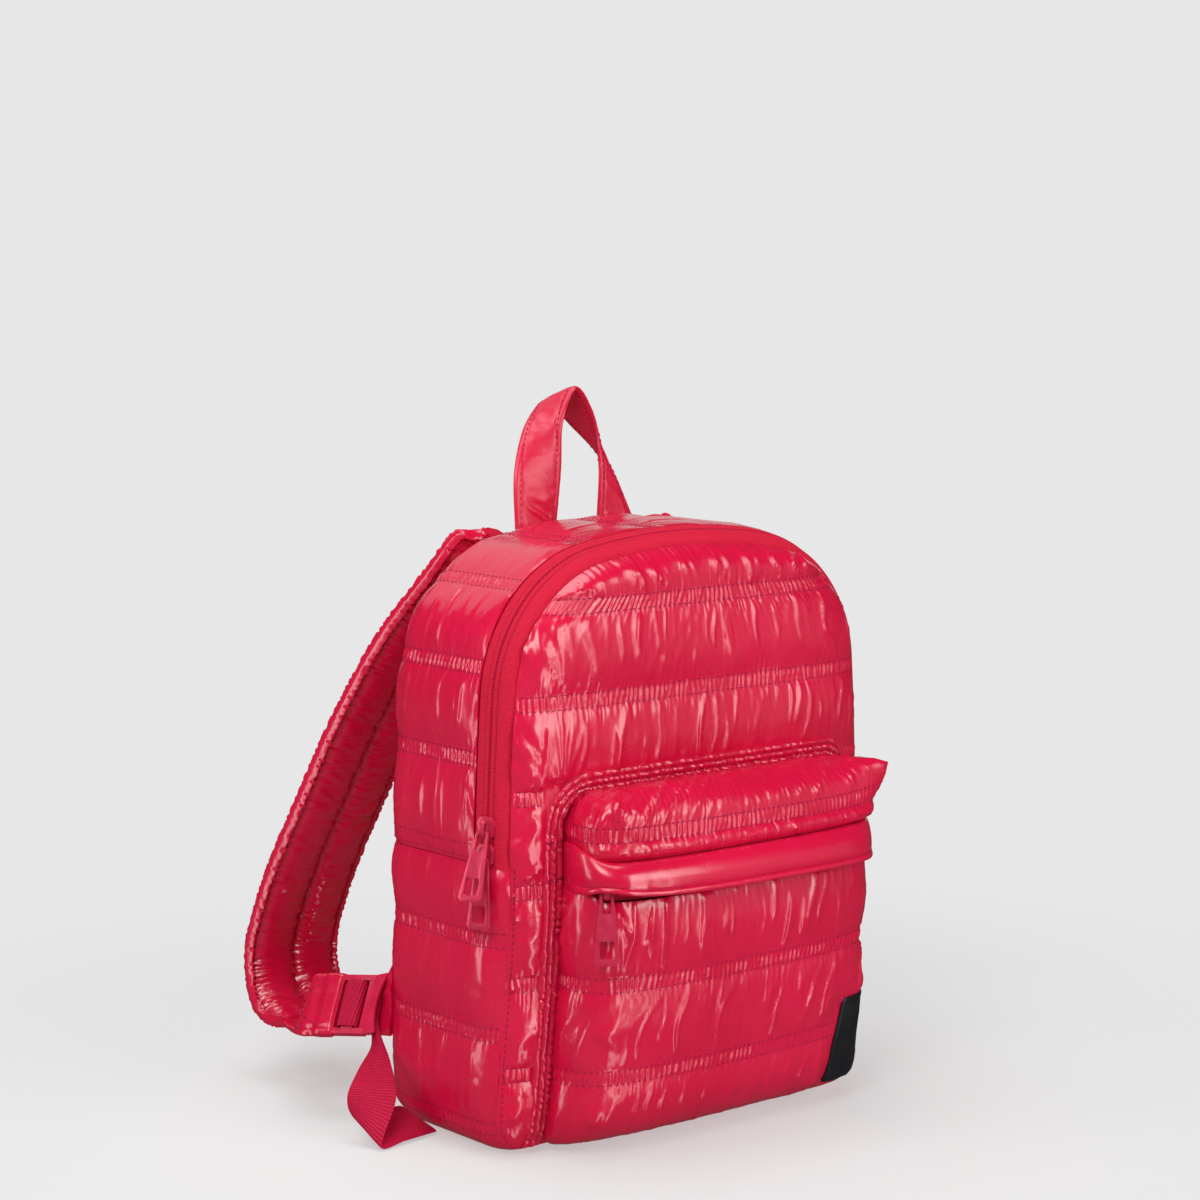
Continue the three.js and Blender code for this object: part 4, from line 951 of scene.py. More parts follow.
def nylon(name, low, high, coat):
    """Coated quilt cloth: wet gloss, faint crinkle and a very fine weave."""
    look = Look(name, srgb(208, 10, 58), low, Specular_IOR_Level=0.55, Coat_Weight=coat, Coat_Roughness=0.12)
    look.vary(srgb(200, 6, 54), srgb(214, 14, 64), 14.0)
    look.vary_roughness(low, high, 60.0)
    look.raise_by(look.texture(NOISE, Scale=1800.0, Detail=1.0), 0.12, 0.0001)
    look.raise_by(look.texture(NOISE, Scale=330.0, Detail=3.0, Roughness=0.6), 0.25, 0.0004)
    return look.material


def ribbed(name, colour, dark, light, pitch, depth, roughness, slant=0.0):
    """Woven tape or webbing: ribs in the mesh's own millimetres, with a crossing thread, and painted shade,
    dark in the rib hollows and lighter on the crests.
    """
    look = Look(name, colour, roughness, Specular_IOR_Level=0.2)
    turned = look.add("ShaderNodeMapping", Rotation=(0, 0, slant))
    look.link(look.add("ShaderNodeUVMap", uv_map="cloth").outputs["UV"], turned.inputs["Vector"])
    look.place = turned.outputs["Vector"]
    ribs = look.texture(WAVE, Scale=WAVE_UNIT / pitch, Distortion=0.4, bands_direction="X")
    cross = look.texture(WAVE, Scale=WAVE_UNIT / (0.55 * pitch), Distortion=0.3, bands_direction="Y")
    # Painted shade: the ribs' colour follows their relief, darker in the hollows between them and lighter on
    # their crests.
    look.colours(ribs, dark, light, 0.0, 1.0)
    look.raise_by(cross, 0.5, 0.5 * depth * MM)
    look.raise_by(ribs, 0.8, depth * MM)
    return look.material


def moulded(name, colour, dark, light, low, high, grain, metallic=0.0):
    """Painted metal or moulded plastic: faint mottling, uneven gloss and a fine skin."""
    look = Look(name, colour, (low + high) / 2, Metallic=metallic)
    look.vary(dark, light, 160.0)
    look.vary_roughness(low, high, 300.0)
    look.raise_by(look.texture(NOISE, Scale=1500.0, Detail=2.0), grain, 0.0001)
    return look.material


def rubber():
    look = Look("label_rubber", srgb(22, 22, 26), 0.5, Specular_IOR_Level=0.4)
    look.vary(srgb(17, 17, 20), srgb(30, 30, 34), 90.0)
    look.vary_roughness(0.38, 0.6, 220.0)
    look.raise_by(look.texture("ShaderNodeTexVoronoi", Scale=1400.0), 0.35, 0.00015, "Distance")
    return look.material


def thread():
    look = Look("thread", srgb(154, 4, 62), 0.6, Specular_IOR_Level=0.2)
    look.vary(srgb(138, 0, 52), srgb(168, 10, 74), 400.0)
    look.raise_by(look.texture(NOISE, Scale=2600.0), 0.5, 0.00008)
    return look.material


NYLON = nylon("nylon", 0.19, 0.33, 0.35)
HANDLE_NYLON = nylon("handle_nylon", 0.33, 0.44, 0.0)
# Each ribbed cloth's second and third colours are painted shade in its rib hollows and a lighter colour on
# its rib crests.
TAPE = ribbed("zip_tape", srgb(206, 20, 56), srgb(190, 8, 44), srgb(214, 28, 62), 0.8, 0.14, 0.75)
TWILL = ribbed("webbing", srgb(190, 8, 58), srgb(164, 0, 42), srgb(202, 14, 68), 1.3, 0.3, 0.6, slant=0.1)
METAL = moulded("pull_metal", srgb(202, 42, 76), srgb(194, 35, 68), srgb(209, 50, 84), 0.24, 0.36, 0.12, 0.25)
PLASTIC = moulded("lock_plastic", srgb(202, 18, 66), srgb(194, 12, 58), srgb(208, 24, 72), 0.34, 0.46, 0.2)
HANDLE_LINING = ribbed(
    "handle_lining", srgb(198, 18, 58), srgb(176, 8, 46), srgb(206, 24, 64), 1.1, 0.2, 0.6,
)
LABEL_RUBBER = rubber()
THREAD = thread()
BACKDROP = srgb(231, 231, 231)


def finish_piece(made, body, material, slot, *nodes_replaced, padded=None):
    made.data.materials.append(material)
    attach(made, body)
    if nodes_replaced:
        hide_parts(*nodes_replaced)


# Panels of the main body and the pocket


def behind_pocket(x, z):
    beside = smooth(np.abs(x), BINDING["half"] + 2, BINDING["half"] + 7)
    above = smooth(z, BINDING["top"], BINDING["top"] + 6)
    return np.maximum(beside, above)


def front_base(level, across):
    x, z, fade = panel_point(across, level)
    return np.stack(np.broadcast_arrays(x, front_seam_y(z) - FRONT_DOME * fade, z), -1)


def back_base(level, across):
    x, z, fade = panel_point(across, level)
    return np.stack(np.broadcast_arrays(x, BACK_SEAM_Y + BACK_DOME * fade, z), -1)


def front_hold(across, level):
    x, z, _ = panel_point(across, level)
    return behind_pocket(x, z)


def gusset_upper_base(distance, y):
    return body_skin(distance, y, 0.0)


def gusset_upper_hold(y, distance):
    """Tighter and smoother over the top."""
    return 0.5 + 0.5 * smooth(np.abs(distance), 80, 140)


def gusset_lower_base(along, share):
    distance = np.where(along < 0, -1, 1) * (HALF_GIRTH - np.abs(along))
    _, z, _, _ = outline_at(distance)
    front = front_seam_y(z)
    return body_skin(distance, front + (GUSSET_BACK_Y - front) * share, 0.0)


def even_across(level, end, count):
    """Shares across the pocket that lie at even distances round it at a level."""
    fine = np.linspace(-end, end, ACROSS_PROBES)
    run = run_along(pocket_skin(fine, level, 0.0))
    return np.interp(np.linspace(0, run[-1], count), run, fine)


def pocket_foot_push(across, level):
    """How far the pocket's lower right corner stands out, also under the label."""
    foot = POCKET_FOOT["push"] * np.exp(-((level - POCKET_FOOT["level"]) / POCKET_FOOT["spread"]) ** 2)
    foot = foot * smooth(across, 0.1, 0.5) * (1 - smooth(across, 0.85, 1))
    label = smooth(across, 0.4, 0.6) * (1 - smooth(across, 0.8, 0.95))
    label = label * smooth(level, 8, 26) * (1 - smooth(level, 55, 75))
    out = foot + POCKET_FOOT["under_label"] * label
    angle = across * math.pi / 2
    return np.stack(np.broadcast_arrays(out * np.sin(angle), -out * np.cos(angle), 0.0), -1)


def pocket_lower_base(level, across):
    rise = POCKET_LEFT_RISE * smooth(-across, 0.6, 0.76) * smooth(level, 98, 130.5)
    place = pocket_skin(across, level + rise, 0.0) + pocket_foot_push(across, level)
    straight = BINDING["top"] - BINDING["corner"] - BINDING["foot"]
    low = 1 - np.clip((level - BINDING["foot"]) / straight, 0, 1)
    side = (POCKET_ROOT_GAP + BINDING["spread"] * low) * smooth(np.abs(across), 0.7, 1)
    side = side * smooth(level, 0, 14)
    place[..., 0] += np.sign(across) * side
    return place


def pocket_upper_hold(across, level):
    """Flat where the flap's raised left end lies over the cloth."""
    covered = smooth(-across, 0.55, 0.8) * (1 - smooth(level, 156, 161))
    return 1 - covered


def pocket_lower_hold(across, level):
    inside = smooth(across, LABEL["left_low"] - 0.06, LABEL["left_low"] + 0.02)
    inside = inside * (1 - smooth(across, LABEL["right"], LABEL["right"] + 0.06))
    inside = inside * (1 - smooth(level, LABEL["high"] - 2, LABEL["high"] + 6))
    return (1 - inside) * (0.12 + 0.88 * smooth(level, 2, 24))


def pocket_upper_base(level, across):
    return pocket_skin(across, level, pocket_corner(across, level))


def paired(rows):
    return [(row - PAIR, row) for row in rows]


def build_panels():
    """The six quilted panels, each named after the node that it replaces."""
    rows, ends = paired(PANEL_ROWS), (PANEL_LOW_Z, PANEL_TOP_Z)
    front = Panel(
        "front_panel", front_base, ends, rows, np.linspace(-1, 1, COLUMNS["front"]), SEEDS["front"],
        hold=front_hold,
        folds=dict(leans=FRONT_LEANS, border=6, rays=(WELT_RAYS,), fills=FRONT_FILLS, strips=STRIP_RIDGES),
    )
    back = Panel(
        "back_panel", back_base, ends, rows, np.linspace(-1, 1, COLUMNS["back"]), SEEDS["back"],
        step=BACK_GRID_STEP, folds=dict(finer=1),
    )
    end = SEAM_DISTANCE - SEAM_GAP
    upper = Panel(
        "gusset_upper", gusset_upper_base, (-end, end), paired(GUSSET_ROWS),
        np.linspace(ZIP_REAR_Y, GUSSET_BACK_Y, COLUMNS["gusset_upper"]), SEEDS["gusset_upper"],
        hold=gusset_upper_hold, folds=SIDE_FOLDS, over_top=True,
    )

    def along(z):
        return HALF_GIRTH - float(distance_at_height(z, False))

    end = HALF_GIRTH - SEAM_DISTANCE - SEAM_GAP
    rows = [(along(low), along(high)) for low, high in paired(LOWER_GUSSET_ROWS)]
    rows += [(-b, -a) for a, b in rows]
    base_half = rows[0][0]
    lower = Panel(
        "gusset_lower", gusset_lower_base, (-end, end), rows, np.linspace(0, 1, COLUMNS["gusset_lower"]),
        SEEDS["gusset_lower"], hold=lambda s, t: smooth(np.abs(t), base_half - 4, base_half),
        folds=SIDE_FOLDS, over_top=False, plain=(ARCS_LENGTH - HALF_GIRTH, HALF_GIRTH - ARCS_LENGTH),
    )
    pocket_low = Panel(
        "pocket_lower", pocket_lower_base, POCKET_LOWER_ENDS, paired(POCKET_LOWER_ROWS),
        even_across(93, 1, COLUMNS["pocket"]), SEEDS["pocket_lower"], hold=pocket_lower_hold,
        folds=dict(leans=POCKET_LEANS, rays=(ZIP_PLEATS, LOW_PLEATS, MID_PLEATS)),
    )
    pocket_high = Panel(
        "pocket_upper", pocket_upper_base, POCKET_UPPER_ENDS, paired(POCKET_UPPER_ROWS),
        even_across(158, 1, COLUMNS["pocket"]), SEEDS["pocket_upper"], hold=pocket_upper_hold,
        folds=dict(spacing=6.5, lean=5.0, rays=(CORNER_PLEATS,)),
    )
    return front, back, upper, lower, pocket_low, pocket_high


def rim_taper(rows, columns):
    """Less thickness at the borders, where the panels meet in their seams."""
    row = np.minimum(np.arange(rows), np.arange(rows)[::-1])[:, None]
    column = np.minimum(np.arange(columns), np.arange(columns)[::-1])[None, :]
    return 0.25 + 0.75 * np.clip(np.minimum(row, column) / 3, 0, 1)


PANELS = build_panels()
SHAPES = settle(PANELS)

DRESSED = {}
for panel in PANELS:
    outer, normal = gathered(panel, SHAPES[panel.name])
    DRESSED[panel.name] = (panel, outer, normal)
    inner = panel.P - panel.N * CLOTH * rim_taper(*panel.P.shape[:2])[..., None]
    made = shell(f"{panel.name}_quilt", outer, finer(inner, panel.folds["finer"]), flip=panel.flip)
    finish_piece(made, "bag", NYLON, "shell", panel.name, padded=PADDING["panel"])

# Paired stitch rows of the panels

for name, (panel, outer, normal) in DRESSED.items():
    for t in (t for pair in panel.pairs for t in pair):
        points, normals = line_on(outer, normal, panel.t, t, 0.985)
        shown = np.ones(len(points), bool)
        if name == "front_panel":
            shown = behind_pocket(points[:, 0], points[:, 2]) > 0.5
        for run in np.split(np.arange(len(shown)), np.flatnonzero(np.diff(shown.astype(int))) + 1):
            if shown[run[0]] and len(run) > 4:
                add_stitches(f"{name}_stitches", points[run], normals[run])

# Seam stitches of the main body


def seam_stitches():
    panel, outer, normal = DRESSED["gusset_upper"]
    for gap in SEAM_ROWS:
        for t in (panel.t[0] + gap, panel.t[-1] - gap):
            add_stitches("gusset_seam_stitches", *line_on(outer, normal, panel.t, t, 0.97))
    panel, outer, normal = DRESSED["front_panel"]
    low = panel.t < GUSSET_SEAM_Z
    column = int(np.argmin(np.abs(run_along(outer[len(outer) // 4]) - BORDER_STITCH)))
    for place in (column, outer.shape[1] - 1 - column):
        add_stitches("front_seam_stitches", outer[low, place], normal[low, place])


seam_stitches()

# Main zip


def zip_tape(which, from_y, to_y, lifts, sewn_columns):
    """A tape that follows the arch, with its height given at places across it, and stitches along it."""
    end = SEAM_DISTANCE + TAPE_OVERRUN
    distance = np.linspace(-end, end, ZIP_GRID[0])[:, None]
    places = np.linspace(0, 1, ZIP_GRID[1])
    y = (from_y + (to_y - from_y) * places)[None, :]
    rise = np.interp(places, *zip(*lifts))[None, :]
    outer = body_skin(distance, y, rise)
    inner = body_skin(distance, y, np.minimum(rise, TAPE_TOP) - TAPE_THICKNESS)
    normals, flip = normals_towards(outer, 2, 1)
    uvs = np.stack(np.broadcast_arrays(distance, y), -1)
    made = shell(f"zip_{which}_woven", outer, inner, uvs, flip)
    finish_piece(made, "bag", TAPE, "zip_tape", f"zip_tape_{which}")
    for column in sewn_columns:
        add_stitches("zip_stitches", outer[:, column], normals[:, column], **ZIP_STITCH)


zip_tape("rear", ZIP_REAR_Y - TAPE_TUCK, ZIP_MID_Y + ZIP_HALF_GAP, REAR_LIFTS, (13, 19))
zip_tape("front", ZIP_MID_Y - ZIP_HALF_GAP, ZIP_FRONT_EDGE_Y, FRONT_LIFTS, (1, 5))

# Pocket flap, zip and label


def pocket_flap():
    rows, columns = FLAP_GRID
    across = even_across(POCKET_MOUTH, FLAP_REACH, columns)[None, :]
    down = np.linspace(0, 1, rows)[:, None]
    top = FLAP["top"] + FLAP_LEFT_RISE * smooth(-across, 0.5, 0.97)
    hem = FLAP["hem"] - FLAP["slant"] * across - FLAP_LEFT_DROP * smooth(-across, 0.6, 0.8)
    room = (across - FLAP_PULL_ROOM["across"]) / FLAP_PULL_ROOM["spread"]
    hem = hem + FLAP_PULL_ROOM["rise"] * np.exp(-room * room)
    level = top + (hem - top) * down
    free = 1 - np.where(across < 0, smooth(-across, 0.42, 0.84), smooth(across, 0.3, 0.8))
    stand = FLAP["top_lift"] + (FLAP["hem_lift"] - FLAP["top_lift"]) * free * np.sqrt(down)
    body = np.sin(math.pi * np.clip(down / FLAP_STITCH, 0, 1)) ** 0.7 * FLAP["puff"]
    below = np.clip((down - FLAP_STITCH) / (1 - FLAP_STITCH), 0, 1)
    roll = np.sin(math.pi * below) ** 0.6 * FLAP["roll"]
    noise, patch, fine = (Noise(SEEDS["flap"] + k) for k in range(3))
    run = across * FLAP["run"]
    dents = FLAP["dents"] * noise.at(run / 7, down * 1.4) * patch.at(run / 45, 2.0) * np.sin(math.pi * down)
    off = np.abs(down - FLAP_STITCH)
    near = np.exp(-off / 0.06) * (off > 0.01)
    pucker = FLAP["pucker"] * fine.at(run / 1.7, np.where(down > FLAP_STITCH, 4.5, 8.5)) * near
    full = 1 - np.abs(across / FLAP_REACH) ** 10
    thin = 1 - 0.5 * smooth(across, 0.25, 0.6)
    rise = FLAP["thickness"] * (0.4 + 0.6 * full) * thin + (body + roll + dents + pucker) * full * thin
    outer = pocket_skin(across, level, stand + rise - FLAP["tuck"] * (down < 0.02))
    normals, flip = normals_towards(outer, 1, -1)
    made = shell("pocket_flap_band", outer, pocket_skin(across, level, stand), flip=flip)
    finish_piece(made, "bag", NYLON, "shell", "pocket_flap", padded=PADDING["flap"])
    row = int(round(FLAP_STITCH * (rows - 1)))
    add_stitches("pocket_flap_stitches", outer[row], normals[row])


def pocket_zip():
    rows, columns = POCKET_ZIP_GRID
    across = even_across(POCKET_MOUTH, POCKET_ZIP["end"], columns)[None, :]
    level = np.linspace(POCKET_ZIP["low"], POCKET_ZIP["high"], rows)[:, None]
    share = (level - POCKET_ZIP["low"]) / (POCKET_ZIP["high"] - POCKET_ZIP["low"])
    ridge = 0.5 * np.exp(-((share - 0.36) / 0.07) ** 2)
    outer = pocket_skin(across, level, POCKET_ZIP["lift"] + ridge)
    inner = pocket_skin(across, level, POCKET_ZIP["lift"] - POCKET_ZIP["thickness"])
    uvs = np.stack(np.broadcast_arrays(across * FLAP["run"], level), -1)
    _, flip = normals_towards(outer, 1, -1)
    made = shell("pocket_zip_woven", outer, inner, uvs, flip)
    finish_piece(made, "bag", TAPE, "zip_tape", "pocket_zip")


def label_patch():
    """A thin moulded patch with rounded corners, a raised rim and a plain face."""
    turn = np.linspace(0, 2 * math.pi, LABEL_POINTS + 1)[:-1]
    a, b = (np.sign(v) * np.abs(v) ** LABEL_SQUARENESS for v in (np.cos(turn), np.sin(turn)))
    low, high = LABEL["low"], LABEL["high"]
    rings = []
    for size, rise in LABEL_PROFILE:
        level = (low + high) / 2 + b * size * (high - low) / 2
        share = (level - low) / (high - low)
        left = LABEL["left_low"] + (LABEL["left_high"] - LABEL["left_low"]) * share
        across = (left + LABEL["right"]) / 2 + a * size * (LABEL["right"] - left) / 2
        face = pocket_skin(across, level, LABEL["lift"] + LABEL["thickness"] * rise)
        rings.append(face + pocket_foot_push(across, level))
    made = tube("label_plain", np.array(rings))
    finish_piece(made, "bag", LABEL_RUBBER, "label", "label_patch")


pocket_flap()
pocket_zip()
label_patch()

# Double welt round the pocket


def pocket_binding():
    half, top, foot = BINDING["half"], BINDING["top"], BINDING["foot"]
    share = np.linspace(0, 1, WELT_COUNTS["side"])
    turn = np.linspace(0, math.pi / 2, WELT_COUNTS["arc"] + 1)[1:]
    ends = []
    for corner in (BINDING["right_corner"], BINDING["corner"]):
        side = np.stack([half + BINDING["spread"] * (1 - share), foot + (top - corner - foot) * share], -1)
        arc = np.stack([half - corner + corner * np.cos(turn), top - corner + corner * np.sin(turn)], -1)
        ends.append(np.concatenate([side, arc]))
    right, left = ends[0], ends[1] * (-1, 1)
    count = WELT_COUNTS["over"]
    over = np.stack([np.linspace(right[-1, 0], left[-1, 0], count + 2)[1:-1], np.full(count, top)], -1)
    line = np.concatenate([right, over, left[::-1]])
    ahead = unit(np.gradient(line, axis=0))
    out = np.stack([ahead[:, 1], -ahead[:, 0]], -1)
    run = run_along(line)[:, None]
    places = np.linspace(0, 1, WELT_COUNTS["across"])[None, :]
    ridge = np.abs(np.sin(3 * math.pi * places)) ** 0.55
    which = np.minimum(np.floor(places * 3), 2)
    noise, patch = Noise(SEEDS["welt"]), Noise(SEEDS["welt"] + 1)
    pucker = noise.at(run / 1.7, which * 7.3) * BINDING["pucker"] * ridge
    pucker = pucker * (0.75 + 0.4 * patch.at(run / 25, which * 3.1))
    edge = np.clip(np.minimum(places, 1 - places) / 0.03, 0, 1)
    rise = edge * BINDING["height"] * (0.42 + 0.3 * ridge) + pucker
    aside = (places - 0.5) * (BINDING["width"] + BINDING["overhang"])
    x = line[:, :1] + out[:, :1] * aside
    z = line[:, 1:] + out[:, 1:] * aside
    base = front_face_y(x, z) - 0.2
    outer = np.stack([x, base - rise, z], -1)
    inner = np.stack([x, base + 0.4, z], -1)
    _, flip = normals_towards(outer, 1, -1)
    made = shell("pocket_welt", outer, inner, flip=flip)
    finish_piece(made, "bag", NYLON, "shell", "pocket_binding", padded=PADDING["welt"])
    normals = np.zeros_like(outer)
    normals[:, :, 1] = -1
    for column in (8, 16):
        add_stitches("pocket_welt_stitches", outer[:, column], normals[:, column], **WELT_STITCH)
    for height in BINDING["crossings"]:
        row = int(np.argmin(np.abs(line[:, 1] - height) + 1000 * (line[:, 0] > 0)))
        add_stitches("pocket_welt_stitches", outer[row, 2:-2], normals[row, 2:-2], **CROSSING_STITCH)


pocket_binding()

# Strips: handle, strap ends, webbing and wings


def ribbon(edge_a, edge_b, thickness, grid, lift):
    """Rings of a flat strip between two edges, its two grids, their normals and the places on it."""
    edge_a, edge_b = np.asarray(edge_a, float), np.asarray(edge_b, float)
    shares = even_shares((edge_a + edge_b) / 2, grid[0])
    a, a_ahead = curve(edge_a, shares)
    b, b_ahead = curve(edge_b, shares)
    normal = unit(np.cross(a_ahead + b_ahead, b - a))[:, None]
    places = np.linspace(0, 1, grid[1])[None, :]
    flat = a[:, None] * (1 - places[..., None]) + b[:, None] * places[..., None]
    width = np.linalg.norm(b - a, axis=1)[:, None]
    side = np.minimum(places, 1 - places) * width
    half = thickness / 2 * np.sqrt(1 - (1 - np.clip(side / (0.8 * thickness), 0.06, 1)) ** 2)
    run, wide = run_along((a + b) / 2)[:, None], places * width
    above, below = lift(run, wide, width)
    upper = flat + normal * (half + above)[..., None]
    lower = flat - normal * (half + below)[..., None]
    rings = np.concatenate([upper, lower[:, ::-1]], 1)
    both = np.concatenate([wide, wide[:, ::-1]], 1)
    uvs = np.stack(np.broadcast_arrays(run, both), -1).reshape(-1, 2)
    return rings, upper, lower, np.broadcast_to(normal, upper.shape), uvs


def stitch_groove(wide, width, inset):
    """Two narrow grooves beside the edges of a strip, where its stitches lie."""
    near, far = (wide - inset) / GROOVE_WIDTH, (width - wide - inset) / GROOVE_WIDTH
    return np.exp(-near ** 2) + np.exp(-far ** 2)


def carry_handle():
    def crinkle(run, wide, width):
        foot = 0.12 + 0.88 * np.maximum(np.exp(-run / 22), np.exp(-(run[-1] - run) / 22))
        inside = smooth(wide, 3.2, 6) * smooth(width - wide, 3.2, 6)
        creased = 1 - 2 * np.abs(Noise(SEEDS["handle"]).at((run + 0.6 * wide) / 6.5, wide / 13))
        groove = stitch_groove(wide, width, HANDLE_STITCH)
        fine = Noise(SEEDS["handle"] + 1).at(run / 2.2, wide / 9) * 0.12
        crown = 0.8 * np.sin(math.pi * np.clip(wide / width, 0, 1))
        return -0.2 * groove, 0.95 * creased * inside * foot + crown - 0.35 * groove + fine

    rings, upper, lower, normal, uvs = ribbon(
        HANDLE_BACK, HANDLE_FRONT, HANDLE_THICKNESS, HANDLE_GRID, crinkle,
    )
    made = tube("carry_handle_strip", rings, uvs)
    finish_piece(made, "bag", HANDLE_NYLON, "shell", "carry_handle")
    made.data.materials.append(HANDLE_LINING)
    count, across_count = HANDLE_GRID
    lined = np.arange((count - 1) * 2 * across_count) % (2 * across_count) < across_count - 1
    made.data.polygons.foreach_set("material_index", np.append(lined, (False, False)).astype(int))
    for grid, sign in ((upper, 1), (lower, -1)):
        for column in (4, across_count - 5):
            add_stitches("carry_handle_stitches", grid[3:-3, column], sign * normal[3:-3, column])


def strap_parts(side):
    which = "left" if side > 0 else "right"
    line = mirrored(STRAP_LINE, side)
    along = even_shares(line, STRAP_GRID[0])
    centre, ahead = curve(line, along)
    inward = np.zeros_like(ahead)
    inward[:, 0] = side
    across = unit(inward - ahead * (inward * ahead).sum(1, keepdims=True))
    face = unit(np.cross(across, ahead))
    starting, ending = 1 - smooth(along, 0, 0.1), smooth(along, 0.86, 1)
    half = STRAP_HALF_WIDTH + (STRAP_END_HALF_WIDTH - STRAP_HALF_WIDTH) * ending
    half = (half + (STRAP_ROOT_HALF_WIDTH - half) * starting)[:, None]
    inset = 0.03 + 0.94 * along
    full = np.minimum(1, 1.4 * np.sqrt(np.sin(math.pi * inset)))[:, None]
    share = np.linspace(-1, 1, STRAP_GRID[1])[None, :]
    size = np.abs(share)
    channel = np.clip(1 - np.abs(2 * np.clip(size / STRAP_BAND, 0, 1) - 1) ** 3, 0, 1) ** 0.7
    beyond = np.clip((size - STRAP_BAND) / (1 - STRAP_BAND), 0, 1)
    band = 0.5 * np.sqrt(np.clip(np.sin(math.pi * beyond), 0, 1))
    body = np.where(size < STRAP_BAND, channel, band) + 0.12
    run = run_along(centre)[:, None]
    near = np.minimum(np.minimum(size, np.abs(size - STRAP_BAND)), 1 - size) * half
    held = beside_seam(near, GATHER_REACH)
    place = centre[:, None] + across[:, None] * (share * half)[..., None]
    grids = []
    for sign in (1, -1):
        seed = SEEDS["strap"] + (0 if side > 0 else 10) + (0 if sign > 0 else 5)
        creases = 1 - 2 * np.abs(Noise(seed).at((run + 14 * size) / 6, share * 1.6 + 6))
        fine = 0.6 - 1.7 * np.abs(Noise(seed + 1).at(run / 1.9, np.round(share / 0.38) * 5.1))
        lift = 0.4 * creases * channel * (size < STRAP_BAND) + 1.7 * held * fine
        thick = STRAP_EDGE / 2 + (STRAP_FILL * body + lift) * full
        thick = np.where(size > 0.999, STRAP_EDGE / 2, thick)
        grids.append(place + face[:, None] * (sign * thick)[..., None])
    rings = np.concatenate([grids[0], grids[1][:, ::-1]], 1)
    if side < 0:
        rings = rings[:, ::-1]
    made = tube(f"strap_pad_{which}_quilt", rings)
    finish_piece(made, "bag", NYLON, "shell", f"strap_pad_{which}", padded=PADDING["strap"])
    columns = [int(np.argmin(np.abs(share[0] - v))) for v in (-STRAP_BAND, 0, STRAP_BAND)]
    for grid, sign in zip(grids, (1, -1)):
        for column in columns:
            add_stitches(f"strap_{which}_stitches", grid[4:-4, column], sign * face[4:-4], sink=-0.05)
    lock = lock_frame(side)
    strap_end(which, centre[-1], across[-1], ahead[-1], lock)
    webbing(side, which, lock)
    wing(side, which, lock)


def lock_frame(side):
    along = unit(mirrored(LOCK_ALONG, side))
    down = mirrored(LOCK_DOWN, side)
    down = unit(down - along * (down @ along))
    out = unit(np.cross(down, along)) * side
    centre = mirrored(LOCK_CENTRE, side)
    return lambda d, a, o: centre + down * d + along * a + out * o


def strap_end(which, end, across, away, lock):
    edges = []
    for share in (-1, 1):
        start = end + across * (share * STRAP_END_HALF_WIDTH)
        down = -share * LOCK_WRAP["half"]
        edges.append([
            start - away * 3.0, start + away * 6, lock(down, LOCK_BACK - 10, -0.5),
            lock(down, LOCK_BACK - 0.3, LOCK_WRAP["out"]), lock(down, LOCK_WRAP["reach"], LOCK_WRAP["out"]),
        ])

    def lift(run, wide, width):
        left = run[-1] - run
        wrapped = 1 - smooth(left, LOCK_WRAP["lead"] - 3, LOCK_WRAP["lead"] + 3)
        wrap = LOCK_WRAP["full"] * wrapped * smooth(left, 0, 2)
        rumple = 0.3 * Noise(SEEDS["strap_end"]).at(run / 6, wide / 7)
        body = rumple + 0.3 + wrap - 0.4 * stitch_groove(wide, width, STRAP_END_STITCH)
        return body, body

    rings, upper, lower, normal, _ = ribbon(*edges, STRAP_END_THICKNESS, STRAP_END_GRID, lift)
    made = tube(f"strap_end_{which}_sewn", rings)
    finish_piece(made, "bag", NYLON, "shell", f"strap_end_{which}")
    rows, columns = np.arange(24, 78), np.arange(3, 27)
    ramp = np.linspace(columns[0], columns[-1], len(rows)).round().astype(int)
    lines = (
        (rows, np.full(len(rows), columns[0])), (rows, np.full(len(rows), columns[-1])),
        (rows, ramp), (rows, ramp[::-1]),
        (np.full(len(columns), rows[0]), columns), (np.full(len(columns), rows[-1] + 1), columns),
    )
    for grid, sign in ((upper, 1), (lower, -1)):
        for i, j in lines:
            add_stitches(f"strap_{which}_stitches", grid[i, j], sign * normal[i, j], **STRAP_END_SEWING)


def webbing(side, which, lock):
    left = [lock(WEBBING_HALF, a, o) for a, o in WEBBING_IN_LOCK] + list(mirrored(TAIL_LEFT, side))
    right = [lock(-WEBBING_HALF, a, o) for a, o in WEBBING_IN_LOCK] + list(mirrored(TAIL_RIGHT, side))

    def lift(run, wide, width):
        rib = 0.05 * np.sin(2 * math.pi * (run + 0.1 * wide) / 1.3)
        return rib, rib

    rings, *_, uvs = ribbon(left, right, WEBBING_THICKNESS, WEBBING_GRID, lift)
    made = tube(f"webbing_{which}_twill", rings, uvs)
    finish_piece(made, "bag", TWILL, "webbing", f"webbing_{which}")


def wing(side, which, lock):
    along, out = WEBBING_IN_LOCK[0]
    edges = []
    for root, half in ((WING_HIGH, -WEBBING_HALF), (WING_LOW, WEBBING_HALF)):
        edges.append([mirrored(root, side) - (0, WING_SEAT, 0), lock(half, along + WING_TIP_GAP, out)])

    def lift(run, wide, width):
        fold = 1.1 * (1 - 2 * np.abs(Noise(SEEDS["wing"]).at(wide / 8 + 0.05 * run, run / 30)))
        return fold + 0.4, 0.3 - fold

    rings, *_ = ribbon(*edges, WING_THICKNESS, WING_GRID, lift)
    made = tube(f"strap_wing_{which}_cloth", rings)
    finish_piece(made, "bag", NYLON, "shell", f"strap_wing_{which}")


carry_handle()
for side in (1, -1):
    strap_parts(side)

# Hard pieces, with their corners rounded


